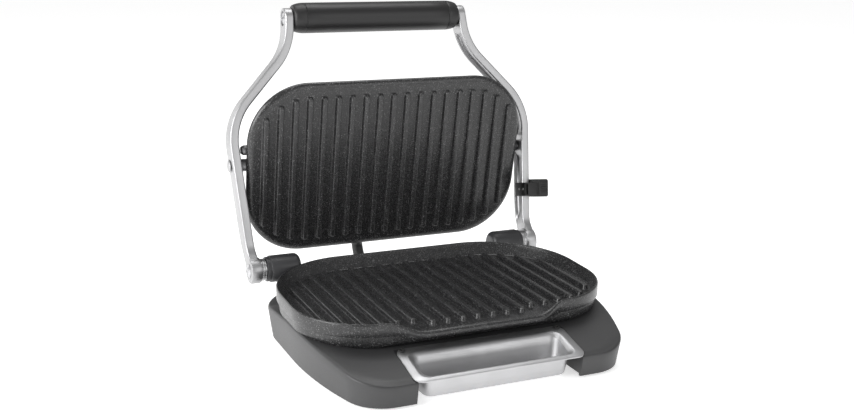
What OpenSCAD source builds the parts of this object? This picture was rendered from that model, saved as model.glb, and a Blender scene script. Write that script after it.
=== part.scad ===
// Electric indoor grill with a floating upper plate, shown open.
// X runs across the grill, the front faces -Y, +Z is up and z = 0 is the table.
// The origin lies on the table under the middle of the lower plate.

/* [Cooking plates] */
// Half width of the lower plate over its rim
plate_half_w = 156; // [150:1:157]
// Distance from the origin to the front edge of the lower plate
plate_front = 90; // [86:1:92]
// Distance from the origin to the rear edge of the lower plate
plate_rear = 99.5; // [95:0.5:100]
// Corner radius at the front of the lower plate
plate_front_r = 70; // [50:1:80]
// Corner radius at the rear of the lower plate
plate_rear_r = 88; // [85:1:92]
// Height of the lower rib tops over the table
rib_top_z = 57; // [55:0.5:60]
// Height of the ribs over the plate floor
rib_h = 4.5; // [3:0.5:6]
// Distance from one rib to the next
rib_pitch = 15; // [14:0.1:15.5]
// Number of ribs on each plate
rib_count = 19; // [15:2:19]
// Width of a rib at its top
rib_top_w = 4.2; // [3:0.2:5]
// Width of a rib at its foot
rib_foot_w = 6; // [5:0.2:7]
// Height of the rim over the rib tops at the middle of the side
rim_rise = 5.7; // [5:0.1:9]
// Slope of the rim, which climbs to the rear
rim_slope = 1.5; // [1:0.1:3]
// Height of the outer wall of the lower plate
rim_wall_h = 12.5; // [11:0.5:13]
// Thickness of the rim
rim_t = 2.2; // [2:0.1:3]
// Thickness of the plate floor
plate_floor_t = 4.5; // [3:0.5:5]
// Half width of the pouring lip
lip_half_w = 70; // [60:1:74]
// Reach of the pouring lip in front of the rim
lip_reach = 12; // [8:1:13]
// Half width of the upper plate
lid_half_w = 152.5; // [145:0.5:153]
// Half depth of the upper plate
lid_half_d = 91; // [86:0.5:91]
// Corner radius of the upper plate
lid_r = 62; // [50:1:70]
// Height of the upper plate from its rib tops to its back edge
lid_plate_h = 11; // [10:0.5:11.5]

/* [Base] */
// Half width of the base at its deck
base_half_w = 155; // [154:1:158]
// Distance from the origin to the front of the base
base_front = 141; // [139:1:144]
// Distance from the origin to the rear of the base
base_rear = 112; // [110:1:118]
// Highest point of the crowned deck over the table
deck_z = 41; // [40.5:0.5:42]
// Height of the flat deck behind the crown
deck_rear_z = 33; // [31:0.5:34]
// Distance of the crown's highest line in front of the origin
crown_front = 16; // [10:1:20]
// Radius of the crown of the deck
crown_r = 430; // [400:10:480]
// How far the wall leans in from deck to foot
base_draft = 6; // [3:0.5:8]
// Wall of the base housing
base_wall = 3; // [2:0.2:4]
// Gap between the table and the foot of the base wall
foot_gap = 2; // [1.5:0.5:3]
// Radius of a rubber foot
foot_r = 9; // [7:0.5:11]
// Depth of the body under the lower plate
carrier_z = 36; // [35:0.5:37]
// Step from the plate wall in to the body under it
carrier_step = 2.5; // [2:0.5:4]

/* [Drip tray] */
// Half width of the tray bay in the base
bay_half_w = 80.8; // [78:0.2:82]
// Distance from the origin to the rear wall of the tray bay
bay_rear = 96; // [94:1:98]
// Half width of the tray over its flange
tray_flange_half_w = 84; // [83:0.5:86]
// Half width of the tray body under the flange
tray_half_w = 75.5; // [70:0.5:76]
// Draft of the tray walls from flange to bottom
tray_draft = 5; // [3:0.5:7]
// Sheet thickness of the tray
tray_t = 1.4; // [1:0.1:2]
// Underside of the tray over the table
tray_z = 3.5; // [3:0.5:6]

/* [Hinge and arms] */
// Distance of the hinge axis behind the origin
hinge_y = 102.5; // [102:0.5:104]
// Height of the hinge axis over the table
hinge_z = 58.5; // [57:0.5:60]
// Radius of the hinge barrels
barrel_r = 13.5; // [12:0.1:14]
// Distance from the middle to the inner end of a hinge barrel
barrel_inner = 112; // [110:1:116]
// Length of a hinge barrel
barrel_l = 35; // [33:0.5:35.5]
// Radius of the hinge shaft
shaft_r = 5; // [4:0.1:5.5]
// Radius of the aluminium collar beside the barrel
collar_r = 11; // [9:0.5:12]
// Lean of the open arms behind the vertical
arm_lean = 13.1; // [11:0.1:14]
// Thickness of an arm across the grill
arm_t = 9; // [8:0.2:9]
// Depth of an arm from its front edge to its rear edge
arm_d = 20.5; // [18.5:0.5:22]
// Length of an arm from the hinge to the handle axis
arm_l = 251; // [248:1:254]
// Half distance between the arms at the hinge
arm_x_low = 155.2; // [155:0.1:156]
// Half distance between the arms at the shoulder bend
arm_x_wide = 165.4; // [164.5:0.1:166]
// Half distance between the arms at the neck bend
arm_x_neck = 99.6; // [98:0.1:102]
// Half distance between the arms at the handle
arm_x_top = 96.5; // [96:0.1:98]
// Bend radius of the arms
bend_r = 62; // [50:1:64]
// Radius of the handle grip
grip_r = 15.5; // [14:0.5:17]
// Length of the two tapered end pieces of the grip
grip_end_l = 13; // [8:0.5:16]

/* [Lid] */
// Angle that the lid turns through from closed to open
lid_open = 80.9; // [78:0.1:84]
// Distance of the lid pivot up the arm from the hinge
pivot_w = 105.5; // [104:0.5:107]
// Distance of the lid pivot behind the line of the arm
pivot_n = 15.3; // [14:0.1:16]
// Height of the lid pivot over the upper rib tops, lid closed
pivot_rise = 17; // [16.8:0.1:18]
// Distance of the lid pivot in front of the middle of the upper plate
pivot_ahead = 5; // [3:0.5:7]
// Radius of the pivot pin in the arm
pivot_r = 3; // [2.5:0.1:3.2]
// Radius of the spacer between lid and arm
spacer_r = 5.2; // [4.5:0.1:5.6]
// Height of the lid cover over the upper rib tops
cover_h = 44; // [38:1:48]
// Step from the upper plate in to the lid cover
cover_step = 15; // [13:0.5:17]
// Wall of the lid cover
cover_wall = 2.5; // [2:0.1:3]

/* [Height clip] */
// Distance of the height clip from the hinge along the arm
clip_w = 55; // [50:1:62]
// Height of the clip along the arm
clip_l = 16; // [12:0.5:18]
// Reach of the clip beyond the outer face of the arm
clip_reach = 19; // [14:0.5:22]

/* [Lid lead] */
// Radius of the sleeved lead between base and lid
lead_r = 6; // [5:0.5:6.5]

/* [Hidden] */
$fn = 48;
eps = 0.01;
// Clearances
run_gap = 0.4;
pin_gap = 0.06;

// Deck and base
arc_steps = 10;
base_corner_r = 42;
base_rear_r = 58;
side_bow_r = 400;
bay_wall = 2.5;
// Screw towers of the base, which also carry the feet
foot_spots = [[112, 88], [-112, 88], [118, -95], [-118, -95]];
foot_plate_t = 2.2;
cover_gap = 0.2;

// Plates
plate_z = rib_top_z - rib_h;
// The plate drops into the pan under it up to this distance from its outline
seat_inset = rim_t + 7;
// Rounded foot of the pan
carrier_foot_h = 5;
carrier_foot = carrier_step + 6;
carrier_foot_top = carrier_step + 1;
carrier_floor_t = 2;
reflector_t = 0.8;
reflector_z = carrier_z + carrier_floor_t + reflector_t;
rim_z = rib_top_z + rim_rise;
lip_rib_half_n = 3;
lip_rib_extra = 10;
// Clear margin between the plate's outline and the ends of its ribs
rib_front_clear = 11;
rib_rear_clear = 13.5;

// Tray: the flange lies in the plane of the deck's front part
flange_rear = bay_rear - 6;
flange_front = base_front - 1;
deck_at_rear = deck_z - (flange_rear - crown_front) * (flange_rear - crown_front) / (2 * crown_r);
deck_at_front = deck_z - (flange_front - crown_front) * (flange_front - crown_front) / (2 * crown_r);
flange_slope = atan((deck_at_rear - deck_at_front) / (flange_front - flange_rear));
flange_proud = 0.8;
tray_rear = bay_rear + 3;
tray_front = base_front - 7;

// Arms, in the plane of the arm: x across, w along the arm from the hinge
shoulder_w = 149;
neck_w = 219;
arm_front_n = 1.2;
arm_path = concat(
    [[arm_x_low - 1, -14], [arm_x_low, 0]],
    turn([arm_x_low, 0], [arm_x_wide, shoulder_w], [arm_x_neck, neck_w], bend_r, arc_steps),
    turn([arm_x_wide, shoulder_w], [arm_x_neck, neck_w], [arm_x_top, arm_l], bend_r, arc_steps),
    [[arm_x_top, arm_l], [arm_x_top, arm_l + 12]]);
boss_r = 13;
boss_proud = 1;
arm_tip_r = arm_d / 2;
handle_n = arm_front_n + arm_tip_r;
leg_slope = (arm_x_wide - arm_x_low) / shoulder_w;
leg_angle = atan(leg_slope);
pivot_x = arm_x_low + leg_slope * pivot_w;
arm_in_x = pivot_x - arm_t / 2;
arm_out_x = pivot_x + arm_t / 2;
top_in_x = arm_x_top - arm_t / 2;
boss_in_x = arm_x_low - arm_t / 2;
boss_out_x = arm_x_low + arm_t / 2;
shaft_in = 118;

// Lid pivot and the middle of the upper rib tops in the open pose
pivot_y = hinge_y + pivot_w * sin(arm_lean) + pivot_n * cos(arm_lean);
pivot_z = hinge_z + pivot_w * cos(arm_lean) - pivot_n * sin(arm_lean);
bracket_in = 132;
bracket_out = 147;
bracket_t = 4;
bracket_y = -pivot_ahead - 24;
bracket_d = 34;
bracket_top = 2 * pivot_rise - lid_plate_h;
stop_lift = 16;

// Inside of the lid
heater_r = 3.3;
lid_floor_z = rib_h + 4;
lid_recess = 20;
lid_reflector_z = lid_floor_z + 2 * heater_r;
cover_draft = 3;
shoulder_z = cover_h - 12;
cover_lean = atan(cover_draft / (shoulder_z - lid_plate_h));
function cover_wall_y(z) = lid_half_d - cover_step - cover_draft * (z - lid_plate_h) / (shoulder_z - lid_plate_h);

// Clip
clip_x = arm_x_low + leg_slope * clip_w;
clip_skin = 1.4;
clip_front_n = -7;

// Glands in the rear wall, and the route of the lead from the base to the lid
wall_lean = atan(base_draft / (deck_z + 1 - foot_gap));
function rear_wall_y(z) = base_rear - base_draft * (deck_z + 1 - z) / (deck_z + 1 - foot_gap);
cord_x = 60;
cord_z = 14;
cord_hole_r = 7;
lead_hole_r = lead_r + 2;
lead_x_base = -18;
lead_x_lid = -22;
lead_base_z = 19;
lid_gland_z = 21.5;
lead_sides = 10;
lead_in = 3;
// Points at a distance out of the gland, along the axis of its bore
function lead_at_base(out) = [lead_x_base, rear_wall_y(lead_base_z) + out * cos(wall_lean),
    lead_base_z - out * sin(wall_lean)];
function lead_at_lid(out) = lid_point([lead_x_lid, cover_wall_y(lid_gland_z) + out * cos(cover_lean),
    lid_gland_z + out * sin(cover_lean)]);
lead_route = [lead_at_base(-lead_in), lead_at_base(7), lead_at_base(18), [-19, 143, 20], [-19.5, 155, 29],
    [-20.5, 163, 42], [-21.5, 167, 55], lead_at_lid(18), lead_at_lid(7), lead_at_lid(-lead_in)];

// A point of the closed lid, given from the middle of its rib tops, placed in the open pose
function lid_point(p) = let (
    y = p[1] + pivot_ahead, z = p[2] - pivot_rise, c = cos(lid_open), s = sin(lid_open))
    [p[0], pivot_y + y * c + z * s, pivot_z - y * s + z * c];
function unit(v) = v / norm(v);
function arc(c, r, a0, a1, n) = [for (i = [0:n]) c + r * [cos(a0 + (a1 - a0) * i / n), sin(a0 + (a1 - a0) * i / n)]];
// Rounded corner at q between p and s
function turn(p, q, s, r, n) = let (
    a = unit(p - q), b = unit(s - q), half = acos(a * b) / 2,
    c = q + unit(a + b) * r / sin(half),
    f = q + a * r / tan(half) - c, l = q + b * r / tan(half) - c,
    a0 = atan2(f[1], f[0]), d = (atan2(l[1], l[0]) - a0 + 540) % 360 - 180)
    arc(c, r, a0, a0 + d, n);
// Outline with straight sides, front corners of one radius and rear corners of another
function plate_outline(w, front, rear, rf, rr, inset) = concat(
    arc([w - rf, rf - front], rf - inset, -90, 0, arc_steps),
    arc([w - rr, rear - rr], rr - inset, 0, 90, arc_steps),
    arc([rr - w, rear - rr], rr - inset, 90, 180, arc_steps),
    arc([rf - w, rf - front], rf - inset, 180, 270, arc_steps));
// Outline of the base: bowed sides that close in towards the front
bow_x = base_half_w - side_bow_r;
base_corner_y = base_corner_r - base_front;
base_corner_x = bow_x + sqrt(pow(side_bow_r - base_corner_r, 2) - pow(base_corner_y, 2));
bow_angle = atan2(base_corner_y, base_corner_x - bow_x);
function half_base(inset) = concat(
    arc([base_corner_x, base_corner_y], base_corner_r - inset, -90, bow_angle, arc_steps),
    arc([bow_x, 0], side_bow_r - inset, bow_angle * 0.8, 0, 5),
    arc([base_half_w - base_rear_r, base_rear - base_rear_r], base_rear_r - inset, 0, 90, arc_steps));
function flip(pts) = [for (i = [len(pts) - 1:-1:0]) [-pts[i][0], pts[i][1]]];
function base_outline(inset) = concat(half_base(inset), flip(half_base(inset)));
function outline(kind, inset) = kind == "base" ? base_outline(inset)
    : kind == "lid" ? plate_outline(lid_half_w, lid_half_d, lid_half_d, lid_r, lid_r, inset)
    : plate_outline(plate_half_w, plate_front, plate_rear, plate_front_r, plate_rear_r, inset);
function half_size(kind) = kind == "base" ? [base_half_w, (base_front + base_rear) / 2]
    : kind == "lid" ? [lid_half_w, lid_half_d] : [plate_half_w, (plate_front + plate_rear) / 2];
function middle_y(kind) = kind == "base" ? (base_rear - base_front) / 2
    : kind == "lid" ? 0 : (plate_rear - plate_front) / 2;

// Wall that leans from one inset at z0 to another at z1
module slab(kind, z0, z1, inset0, inset1) {
    size0 = half_size(kind) - [inset0, inset0];
    size1 = half_size(kind) - [inset1, inset1];
    m = middle_y(kind);
    if (inset0 == inset1)
        translate([0, 0, z0]) linear_extrude(z1 - z0) polygon(outline(kind, inset0));
    else
        translate([0, m, z0])
            linear_extrude(z1 - z0, scale = [size1[0] / size0[0], size1[1] / size0[1]], slices = 1, $fn = 0)
                translate([0, -m]) polygon(outline(kind, inset0));
}
// Solid drawn in side view (y, z) and run across the grill
module across(x0, x1, pts) {
    translate([x0, 0, 0]) rotate([90, 0, 90]) linear_extrude(x1 - x0) polygon(pts);
}
module rod_x(x0, x1, r) {
    translate([x0, 0, 0]) rotate([0, 90, 0]) cylinder(h = x1 - x0, r = r);
}
module both() {
    children();
    mirror([1, 0, 0]) children();
}

// Base

// Side view of everything under a deck that is lowered by drop
module under_deck(drop) {
    crown_front_a = asin((base_front + 20 - crown_front) / crown_r);
    crown_rear_a = acos(1 - (deck_z - deck_rear_z) / crown_r);
    crown = [for (i = [0:20])
        let (a = -crown_front_a + (crown_front_a + crown_rear_a) * i / 20)
        [crown_r * sin(a) - crown_front, deck_z - drop - crown_r * (1 - cos(a))]];
    far = base_half_w + 20;
    across(-far, far, concat([[-base_front - 20, -20]], crown,
        [[base_rear + 20, deck_rear_z - drop], [base_rear + 20, -20]]));
}
// Block in the plane of the tray flange: y runs along the slope from the rear edge of the bay
module in_flange_plane() {
    translate([0, -flange_rear, deck_at_rear + flange_proud]) rotate([flange_slope, 0, 0]) children();
}
module tray_bay(grow) {
    w = bay_half_w + grow;
    translate([-w, -base_front - 20, -20])
        cube([2 * w, base_front + 20 - bay_rear + grow, 100]);
}
// Frame on the leaning rear wall, z straight out of it
module on_rear_wall(x, z) {
    translate([x, rear_wall_y(z), z]) rotate([-90 - wall_lean, 0, 0]) children();
}
module base_housing() {
    color([0.33, 0.33, 0.34])
    difference() {
        intersection() {
            slab("base", foot_gap, deck_z + 1, base_draft, 0);
            under_deck(0);
        }
        difference() {
            intersection() {
                slab("base", foot_gap - 1, deck_z, base_draft + base_wall, base_wall);
                under_deck(base_wall);
                translate([-200, -200, -1]) cube([400, 400, carrier_z - base_wall + 1]);
            }
            tray_bay(bay_wall);
            for (p = foot_spots)
                translate([p[0], p[1], foot_gap + foot_plate_t]) cylinder(h = 60, r = 6);
        }
        tray_bay(0);
        slab("plate", carrier_z, carrier_z + carrier_foot_h, carrier_foot - run_gap, carrier_foot_top - run_gap);
        slab("plate", carrier_z + carrier_foot_h - eps, deck_z + 5, carrier_step - run_gap, carrier_step - run_gap);
        in_flange_plane() translate([-tray_flange_half_w - run_gap, -80, -tray_t - 0.2])
            cube([2 * (tray_flange_half_w + run_gap), 80 + run_gap, 20]);
        for (p = foot_spots) translate([p[0], p[1], 0]) cylinder(h = 20, r = 1.6);
        on_rear_wall(lead_x_base, lead_base_z) cylinder(h = 20, r = lead_hole_r, center = true);
        on_rear_wall(cord_x, cord_z) cylinder(h = 20, r = cord_hole_r, center = true);
    }
}
module bottom_cover() {
    color([0.2, 0.2, 0.2])
    difference() {
        translate([0, 0, foot_gap]) linear_extrude(foot_plate_t)
            polygon(base_outline(base_draft + base_wall + cover_gap));
        tray_bay(bay_wall + cover_gap);
        for (p = foot_spots) translate([p[0], p[1], 0]) cylinder(h = 20, r = 2.2);
    }
}
module foot_pad() {
    cylinder(h = 1, r1 = foot_r - 1, r2 = foot_r);
    translate([0, 0, 1]) cylinder(h = foot_gap - 1, r = foot_r);
}
// Four feet under the screw towers and a plain one under the middle of the cover
module feet() {
    color([0.06, 0.06, 0.06]) {
        foot_pad();
        for (p = foot_spots) translate([p[0], p[1], 0]) difference() {
            foot_pad();
            translate([0, 0, -eps]) cylinder(h = 10, r = 4);
        }
    }
}
module base_screws() {
    color([0.6, 0.6, 0.62])
    for (p = foot_spots) translate([p[0], p[1], 0.6]) {
        cylinder(h = foot_gap - 0.6, r = 3.4);
        cylinder(h = 14, r = 1.6);
    }
}
// Barrel with a rounded inner end on a neck that stands on the deck
module hinge_tower() {
    fillet = 8;
    end_x = barrel_inner + barrel_l;
    neck_rear = hinge_y + 5;
    color([0.25, 0.25, 0.26])
    difference() {
        union() {
            translate([barrel_inner, hinge_y, hinge_z]) rotate([0, 90, 0]) rotate_extrude()
                polygon(concat([[0, 0]], arc([barrel_r - fillet, fillet], fillet, -90, 0, 8),
                    [[barrel_r, barrel_l - 2], [barrel_r - 1.2, barrel_l], [0, barrel_l]]));
            intersection() {
                across(barrel_inner + 2, barrel_inner + 19, [
                    [hinge_y - 11.5, deck_rear_z], [neck_rear, deck_rear_z],
                    [hinge_y + 11, hinge_z - 6], [hinge_y - 11, hinge_z - 6]]);
                linear_extrude(100) polygon(base_outline(2));
            }
        }
        translate([shaft_in, hinge_y, hinge_z]) rod_x(0, end_x - shaft_in + 1, shaft_r + pin_gap);
    }
}
module hinge_tower_right() { hinge_tower(); }
module hinge_tower_left() { mirror([1, 0, 0]) hinge_tower(); }

// Frame in the plane of the rim, which climbs to the rear
module in_rim_plane() {
    translate([0, 0, rim_z]) rotate([rim_slope, 0, 0]) children();
}
// Pan under the lower plate with its rounded foot
module lower_carrier() {
    color([0.22, 0.22, 0.23])
    difference() {
        intersection() {
            union() {
                slab("plate", carrier_z, carrier_z + carrier_foot_h, carrier_foot, carrier_foot_top);
                slab("plate", carrier_z + carrier_foot_h, rim_z, carrier_step, carrier_step);
            }
            in_rim_plane() translate([-200, -200, -60]) cube([400, 400, 60 - rim_wall_h]);
        }
        slab("plate", carrier_z + carrier_floor_t, rim_z, seat_inset - cover_gap, seat_inset - cover_gap);
    }
}
// Stadium in plan that a rib is cut from
function rib_plan(x, y0, y1) = let (r = rib_foot_w / 2) concat(
    arc([x, y0 + r], r, 180, 360, 8), arc([x, y1 - r], r, 0, 180, 8));
module rib(x, y0, y1) {
    foot = rib_foot_w / 2;
    top = rib_top_w / 2;
    lead_in = 1.2;
    intersection() {
        translate([0, 0, -1]) linear_extrude(rib_h + 1) polygon(rib_plan(x, y0, y1));
        translate([x, y1, 0]) rotate([90, 0, 0]) linear_extrude(y1 - y0)
            polygon([[-foot, -1], [foot, -1], [foot, 0], [top, rib_h - 0.4], [top - 0.5, rib_h],
                [0.5 - top, rib_h], [-top, rib_h - 0.4], [-foot, 0]]);
        across(x - foot, x + foot, [
            [y0, -1], [y1, -1], [y1, rib_h - lead_in], [y1 - lead_in, rib_h],
            [y0 + lead_in, rib_h], [y0, rib_h - lead_in]]);
    }
}
// Where the ribs end: the outline of the plate less the clear margin
function rib_reach(x, w, d, r) = let (
    e = abs(x) - (w - r))
    e > 0 ? d - r + sqrt(max(0, r * r - e * e)) : d;
rib_mid = (rib_count - 1) / 2;
rib_w = rib_mid * rib_pitch + 16;
module upper_ribs() {
    for (i = [-rib_mid:rib_mid]) {
        x = i * rib_pitch;
        reach = rib_reach(x, rib_w, upper_rib_half, 60);
        rib(x, -reach, reach);
    }
}
module lower_ribs() {
    for (i = [-rib_mid:rib_mid]) {
        x = i * rib_pitch;
        extra = abs(i) <= lip_rib_half_n ? lip_rib_extra : 0;
        front = rib_reach(x, plate_half_w - rib_front_clear, plate_front - rib_front_clear,
            plate_front_r - rib_front_clear);
        rear = rib_reach(x, plate_half_w - rib_rear_clear, plate_rear - rib_rear_clear,
            plate_rear_r - rib_rear_clear);
        rib(x, -front - extra, rear);
    }
}
upper_rib_half = 77.5;
module lower_grill_plate() {
    lip_front = plate_front + lip_reach;
    lip_under = rib_top_z - rim_wall_h + 1.5;
    color([0.23, 0.23, 0.24]) {
        difference() {
            union() {
                in_rim_plane() translate([0, 0, -rim_wall_h]) slab("plate", 0, rim_wall_h, 0, 0);
                slab("plate", plate_z - plate_floor_t, plate_z + 6, seat_inset, seat_inset);
            }
            intersection() {
                in_rim_plane() slab("plate", -rim_wall_h - 4, 1, rim_t + 13, rim_t);
                translate([-200, -200, plate_z]) cube([400, 400, 60]);
            }
            translate([0, -plate_front + 13, 0]) rotate([90, 0, 0]) linear_extrude(40)
                polygon([[-lip_half_w, plate_z], [lip_half_w, plate_z],
                    [lip_half_w + 14, plate_z + 8], [lip_half_w + 20, plate_z + 40],
                    [-lip_half_w - 20, plate_z + 40], [-lip_half_w - 14, plate_z + 8]]);
        }
        intersection() {
            across(-lip_half_w - 6, lip_half_w + 6, concat(
                [[-plate_front + 12, plate_z], [-plate_front + 2, plate_z]],
                arc([-lip_front + 5, plate_z - 5.4], 5, 80, 190, 8),
                [[-plate_front - 1, lip_under], [-plate_front + 1, lip_under], [-plate_front + 1, lip_under + 3]]));
            linear_extrude(100) polygon(concat(
                [[-lip_half_w - 6, -plate_front + 12]],
                arc([9 - lip_half_w, 9 - lip_front], 12, 200, 270, 6),
                arc([lip_half_w - 9, 9 - lip_front], 12, 270, 340, 6),
                [[lip_half_w + 6, -plate_front + 12]]));
        }
        translate([0, 0, plate_z]) lower_ribs();
    }
}
// Tubular heater: straight runs joined by half turns
module heater(z) {
    r = heater_r;
    run = 95;
    bend = 28;
    translate([0, 0, z]) {
        for (y = [-bend, bend]) translate([0, y, 0]) rod_x(-run, run, r);
        translate([run, 0, 0]) rotate([0, 0, -90]) rotate_extrude(angle = 180) translate([bend, 0]) circle(r = r);
        for (y = [-bend, bend]) translate([-run - 12, y, 0]) rod_x(0, 12, 2.2);
    }
}
module lower_heating_element() {
    color([0.35, 0.33, 0.31]) heater(plate_z - plate_floor_t - heater_r);
}
module lower_reflector() {
    color([0.72, 0.72, 0.74])
        slab("plate", carrier_z + carrier_floor_t, reflector_z, 24, 24);
}
module lower_thermostat() {
    color([0.75, 0.73, 0.7])
        translate([0, 0, reflector_z]) cylinder(h = plate_z - plate_floor_t - reflector_z, r = 8);
}
module thermal_fuse() {
    color([0.85, 0.84, 0.8])
        translate([-107, 0, plate_z - plate_floor_t - 2.4]) rotate([90, 0, 0]) cylinder(h = 26, r = 2.4, center = true);
}
module terminal_block() {
    color([0.85, 0.85, 0.82])
        translate([20, base_rear - 40, foot_gap + foot_plate_t]) difference() {
            cube([36, 16, 14]);
            for (x = [6:8:30]) translate([x, -1, 8]) rotate([-90, 0, 0]) cylinder(h = 30, r = 2);
        }
}
module gland(r_hole, r_tube, l_out) {
    difference() {
        union() {
            translate([0, 0, -4]) cylinder(h = 8, r = r_hole);
            translate([0, 0, 0]) cylinder(h = 2, r = r_hole + 2);
            translate([0, 0, 2]) cylinder(h = l_out - 2, r1 = r_hole + 0.5, r2 = r_tube + 1.5);
        }
        translate([0, 0, -5]) cylinder(h = l_out + 10, r = r_tube);
    }
}
module cord_gland() {
    color([0.08, 0.08, 0.08])
        on_rear_wall(cord_x, cord_z) gland(cord_hole_r, 3.6, 5);
}
module base_lead_gland() {
    color([0.08, 0.08, 0.08])
        on_rear_wall(lead_x_base, lead_base_z) gland(lead_hole_r, lead_r, 5);
}

// Arms

module in_arm_frame() {
    translate([0, hinge_y, hinge_z]) rotate([-arm_lean, 0, 0]) children();
}
function path_normal(p, i) = let (
    a = p[max(0, i - 1)], b = p[min(len(p) - 1, i + 1)], d = unit(b - a)) [d[1], -d[0]];
function band(from, to) = concat(
    [for (i = [0:len(arm_path) - 1]) arm_path[i] + from * path_normal(arm_path, i)],
    [for (i = [len(arm_path) - 1:-1:0]) arm_path[i] + to * path_normal(arm_path, i)]);
// Bar drawn in front view, n0 to n1 deep
module bar(from, to, n0, n1) {
    translate([0, n1, 0]) rotate([90, 0, 0]) linear_extrude(n1 - n0) polygon(band(from, to));
}
// Side view of an arm: round boss, straight front edge and round tip
module arm_side() {
    rear = arm_front_n + arm_d;
    across(arm_x_neck - 20, arm_x_wide + 20, concat(
        arc([0, 0], boss_r - 0.6, 150, 370, 20),
        [[rear - 1, 26], [rear + 0.8, 50], [rear, arm_l]],
        arc([handle_n, arm_l], arm_tip_r, 0, 180, 12),
        [[arm_front_n, 28], [arm_front_n - 0.7, 22], [-5.5, 13]]));
}
module arm() {
    groove = arm_t * 0.42;
    lip = 3.6;
    color([0.78, 0.78, 0.79])
    difference() {
        union() {
            intersection() {
                bar(-arm_t / 2, arm_t / 2, -boss_r - 2, arm_d + 10);
                arm_side();
            }
            rod_x(boss_in_x - boss_proud, boss_out_x + 0.8, boss_r);
        }
        intersection() {
            bar(-arm_t / 2 - 1, -arm_t / 2 + groove, arm_front_n + lip, arm_front_n + arm_d - lip);
            union() {
                translate([0, 0, clip_w + clip_l + 12]) cube_span(pivot_w - spacer_r - 4 - clip_w - clip_l - 12);
                translate([0, 0, pivot_w + spacer_r + 5]) cube_span(arm_l - pivot_w - spacer_r - 27);
            }
        }
        rod_x(boss_in_x - 2, boss_out_x + 2, shaft_r);
        translate([0, pivot_n, pivot_w]) rod_x(arm_in_x - 2, arm_out_x + 4, pivot_r + pin_gap);
        translate([0, handle_n, arm_l]) {
            rod_x(top_in_x - 2, top_in_x + 20, 3);
            rod_x(top_in_x + arm_t - 1.4, top_in_x + 20, 7.6);
        }
    }
}
module cube_span(h) {
    translate([0, -20, 0]) cube([220, 80, h]);
}
module arm_right() { in_arm_frame() arm(); }
module arm_left() { mirror([1, 0, 0]) in_arm_frame() arm(); }
module hinge_shafts() {
    color([0.6, 0.6, 0.62]) in_arm_frame() both() rod_x(shaft_in + 1, boss_out_x + 0.8, shaft_r);
}
module hinge_collars() {
    end_x = barrel_inner + barrel_l + 0.4;
    color([0.75, 0.75, 0.77]) in_arm_frame() both() difference() {
        rod_x(end_x, boss_in_x - boss_proud, collar_r);
        rod_x(end_x - 1, boss_in_x, shaft_r);
    }
}
// Domed screw head with a cross recess
module domed_screw(r, h) {
    big = (r * r + h * h) / (2 * h);
    difference() {
        intersection() {
            cylinder(h = h, r = r);
            translate([0, 0, h - big]) sphere(r = big);
        }
        for (a = [0, 90]) rotate([0, 0, a]) translate([-r * 0.5, -r * 0.1, h * 0.5]) cube([r, r * 0.2, h]);
    }
}
module hinge_screws() {
    color([0.7, 0.7, 0.72]) in_arm_frame() both()
        translate([boss_out_x + 0.8, 0, 0]) rotate([0, 90, 0]) domed_screw(7, 2.2);
}
module handle_rod() {
    color([0.6, 0.6, 0.62]) in_arm_frame() translate([0, handle_n, arm_l]) difference() {
        rod_x(-top_in_x, top_in_x, 5);
        both() rod_x(top_in_x - 16, top_in_x + 1, 2);
    }
}
module handle_grip() {
    l = top_in_x - grip_end_l;
    color([0.13, 0.13, 0.14]) in_arm_frame() translate([0, handle_n, arm_l]) difference() {
        rod_x(-l, l, grip_r);
        rod_x(-l - 1, l + 1, 5);
    }
}
module grip_ends() {
    color([0.16, 0.16, 0.17]) in_arm_frame() translate([0, handle_n, arm_l]) both()
        translate([top_in_x - grip_end_l, 0, 0]) rotate([0, 90, 0]) rotate_extrude()
            polygon([[5, 0], [grip_r, 0], [grip_r, 1.5], [grip_r - 1.5, grip_end_l - 1.5],
                [grip_r - 3, grip_end_l], [5, grip_end_l]]);
}
module handle_screws() {
    color([0.7, 0.7, 0.72]) in_arm_frame() translate([0, handle_n, arm_l]) both() {
        translate([top_in_x + arm_t - 1.4, 0, 0]) rotate([0, 90, 0]) domed_screw(6.6, 2.4);
        rod_x(top_in_x, top_in_x + arm_t - 1.4, 3);
        rod_x(top_in_x - 14, top_in_x, 2);
    }
}

// Lid: drawn closed, rib tops down at z = 0, then opened about its pivot

module in_lid_frame() {
    translate([0, pivot_y, pivot_z]) rotate([-lid_open, 0, 0])
        translate([0, pivot_ahead, -pivot_rise]) children();
}
module upper_grill_plate() {
    color([0.22, 0.22, 0.23]) in_lid_frame() {
        difference() {
            union() {
                slab("lid", rib_h - 0.5, rib_h + 0.6, 6, 3.2);
                slab("lid", rib_h + 0.6, rib_h + 2.4, 3.2, 0.8);
                slab("lid", rib_h + 2.4, rib_h + 3.6, 0.8, 0);
                slab("lid", rib_h + 3.6, lid_plate_h, 0, 0);
            }
            slab("lid", lid_floor_z, lid_plate_h + 1, lid_recess, lid_recess);
        }
        translate([0, 0, rib_h]) mirror([0, 0, 1]) upper_ribs();
    }
}
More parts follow.
